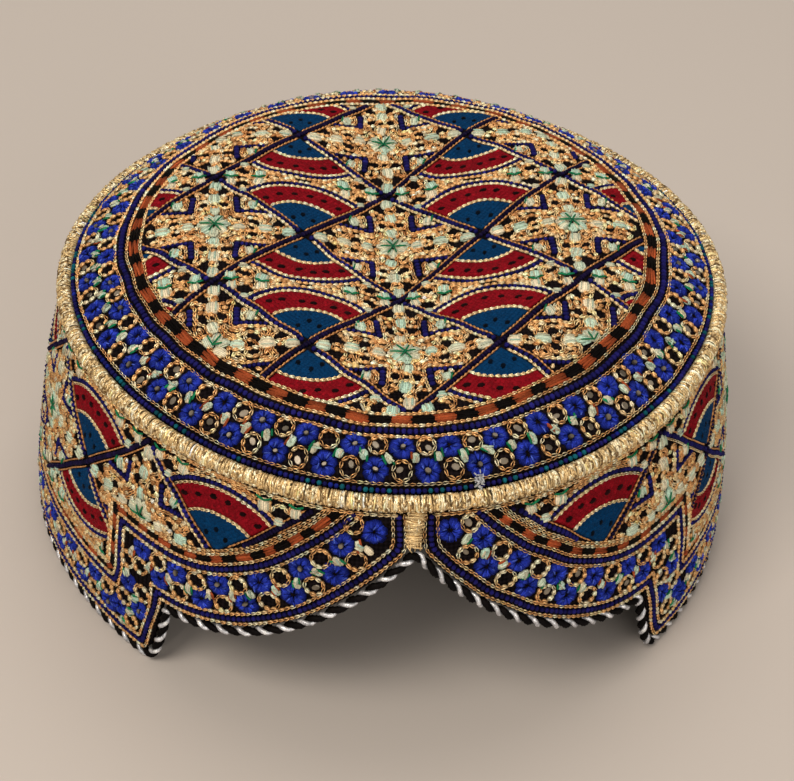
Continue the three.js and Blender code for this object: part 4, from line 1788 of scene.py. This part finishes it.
# Camera, worked out from the photo: lengths in millimetres from the rim's middle, angles in radians
VIEW_FOCAL = 89.69
VIEW_ELEVATION = 0.6985
VIEW_AZIMUTH = 0.0861
VIEW_ROLL = 0.0390
VIEW_DISTANCE = 499.35
VIEW_ACROSS = -1.027
VIEW_UP = 30.855


class CAP_OT_stage(bpy.types.Operator):
    """Adds the plain floor, the soft lights and the camera"""

    bl_idname = "cap.stage"
    bl_label = "Stage"

    def execute(self, context):
        scene = context.scene
        self.add_camera(scene)
        self.add_floor(scene)
        self.add_lights(scene)
        scene.view_settings.view_transform = "Standard"
        return {"FINISHED"}

    def add_camera(self, scene):
        """Sets the camera where the photo was taken from."""
        ce, se = math.cos(VIEW_ELEVATION), math.sin(VIEW_ELEVATION)
        ca, sa = math.cos(VIEW_AZIMUTH), math.sin(VIEW_AZIMUTH)
        look = Vector((sa * ce, ca * ce, -se))
        right = Vector((ca, -sa, 0))
        up = right.cross(look)
        cr, sr = math.cos(VIEW_ROLL), math.sin(VIEW_ROLL)
        side = right * cr + up * sr
        head = up * cr - right * sr
        rim = Vector((CENTRE_X, CENTRE_Y, RIM_HEIGHT))
        place = rim - look * VIEW_DISTANCE - side * VIEW_ACROSS - head * VIEW_UP
        data = bpy.data.cameras.new("photo_camera")
        data.lens = VIEW_FOCAL
        data.sensor_width = 36
        data.clip_start = 0.01
        data.clip_end = 50
        camera = bpy.data.objects.new("photo_camera", data)
        scene.collection.objects.link(camera)
        turn = Matrix((side, head, -look)).transposed()
        camera.matrix_world = Matrix.Translation(place * MM) @ turn.to_4x4()
        scene.camera = camera

    def add_floor(self, scene):
        """Lays the plain floor."""
        half = scene.cap_sizes.floor_size / 2
        corners = [(-half, -half, 0), (half, -half, 0), (half, half, 0), (-half, half, 0)]
        floor = new_object("floor", new_mesh("floor", corners, [(0, 1, 2, 3)]))
        material, _, inputs = shader("floor_paint", 0.7)
        inputs["Base Color"].default_value = (*scene.cap_colours.floor, 1)
        floor.data.materials.append(material)

    def add_lights(self, scene):
        """Hangs three soft lights in a pale room."""
        world = bpy.data.worlds.new("studio")
        world.use_nodes = True
        back = world.node_tree.nodes["Background"]
        back.inputs["Color"].default_value = (0.92, 0.87, 0.80, 1)
        back.inputs["Strength"].default_value = 0.4
        scene.world = world
        lights = (
            {"name": "key", "at": (-0.5, -0.55, 1.1), "size": 0.55, "power": 9.0, "colour": (1, 0.93, 0.83)},
            {"name": "fill", "at": (0.55, -1.2, 0.5), "size": 1.0, "power": 5.2, "colour": (1, 0.96, 0.9)},
            {"name": "top", "at": (0.1, 0.5, 1.2), "size": 0.8, "power": 4.6, "colour": (1, 0.95, 0.88)},
        )
        for row in lights:
            data = bpy.data.lights.new(row["name"], "AREA")
            data.size = row["size"]
            data.energy = row["power"]
            data.color = row["colour"]
            lamp = bpy.data.objects.new(row["name"], data)
            lamp.location = row["at"]
            aim = Vector((0, 0, 0.04)) - Vector(row["at"])
            lamp.rotation_euler = aim.to_track_quat("-Z", "Y").to_euler()
            scene.collection.objects.link(lamp)


STEPS = (
    CAP_OT_cloth, CAP_OT_crown_stitches, CAP_OT_band_stitches,
    CAP_OT_rim_cord, CAP_OT_front_seam, CAP_OT_hem_cord, CAP_OT_stage,
)


class CAP_PT_panel(bpy.types.Panel):
    """Lists the steps that make the cap"""

    bl_label = "Embroidered cap"
    bl_idname = "CAP_PT_panel"
    bl_space_type = "VIEW_3D"
    bl_region_type = "UI"
    bl_category = "Cap"

    def draw(self, context):
        for settings in (context.scene.cap_sizes, context.scene.cap_colours):
            for name in type(settings).__annotations__:
                self.layout.prop(settings, name)
        for step in STEPS:
            self.layout.operator(step.bl_idname)


CLASSES = (CapSizes, CapColours, *STEPS, CAP_PT_panel)


def register():
    """Adds the settings, the steps and the panel."""
    for item in CLASSES:
        bpy.utils.register_class(item)
    bpy.types.Scene.cap_sizes = bpy.props.PointerProperty(type=CapSizes)
    bpy.types.Scene.cap_colours = bpy.props.PointerProperty(type=CapColours)


def unregister():
    """Takes the settings, the steps and the panel away."""
    del bpy.types.Scene.cap_colours
    del bpy.types.Scene.cap_sizes
    for item in reversed(CLASSES):
        bpy.utils.unregister_class(item)


def main():
    """Makes the whole cap and its stage."""
    register()
    bpy.ops.cap.cloth()
    bpy.ops.cap.crown_stitches()
    bpy.ops.cap.band_stitches()
    bpy.ops.cap.rim_cord()
    bpy.ops.cap.front_seam()
    bpy.ops.cap.hem_cord()
    bpy.ops.cap.stage()


if __name__ == "__main__":
    main()
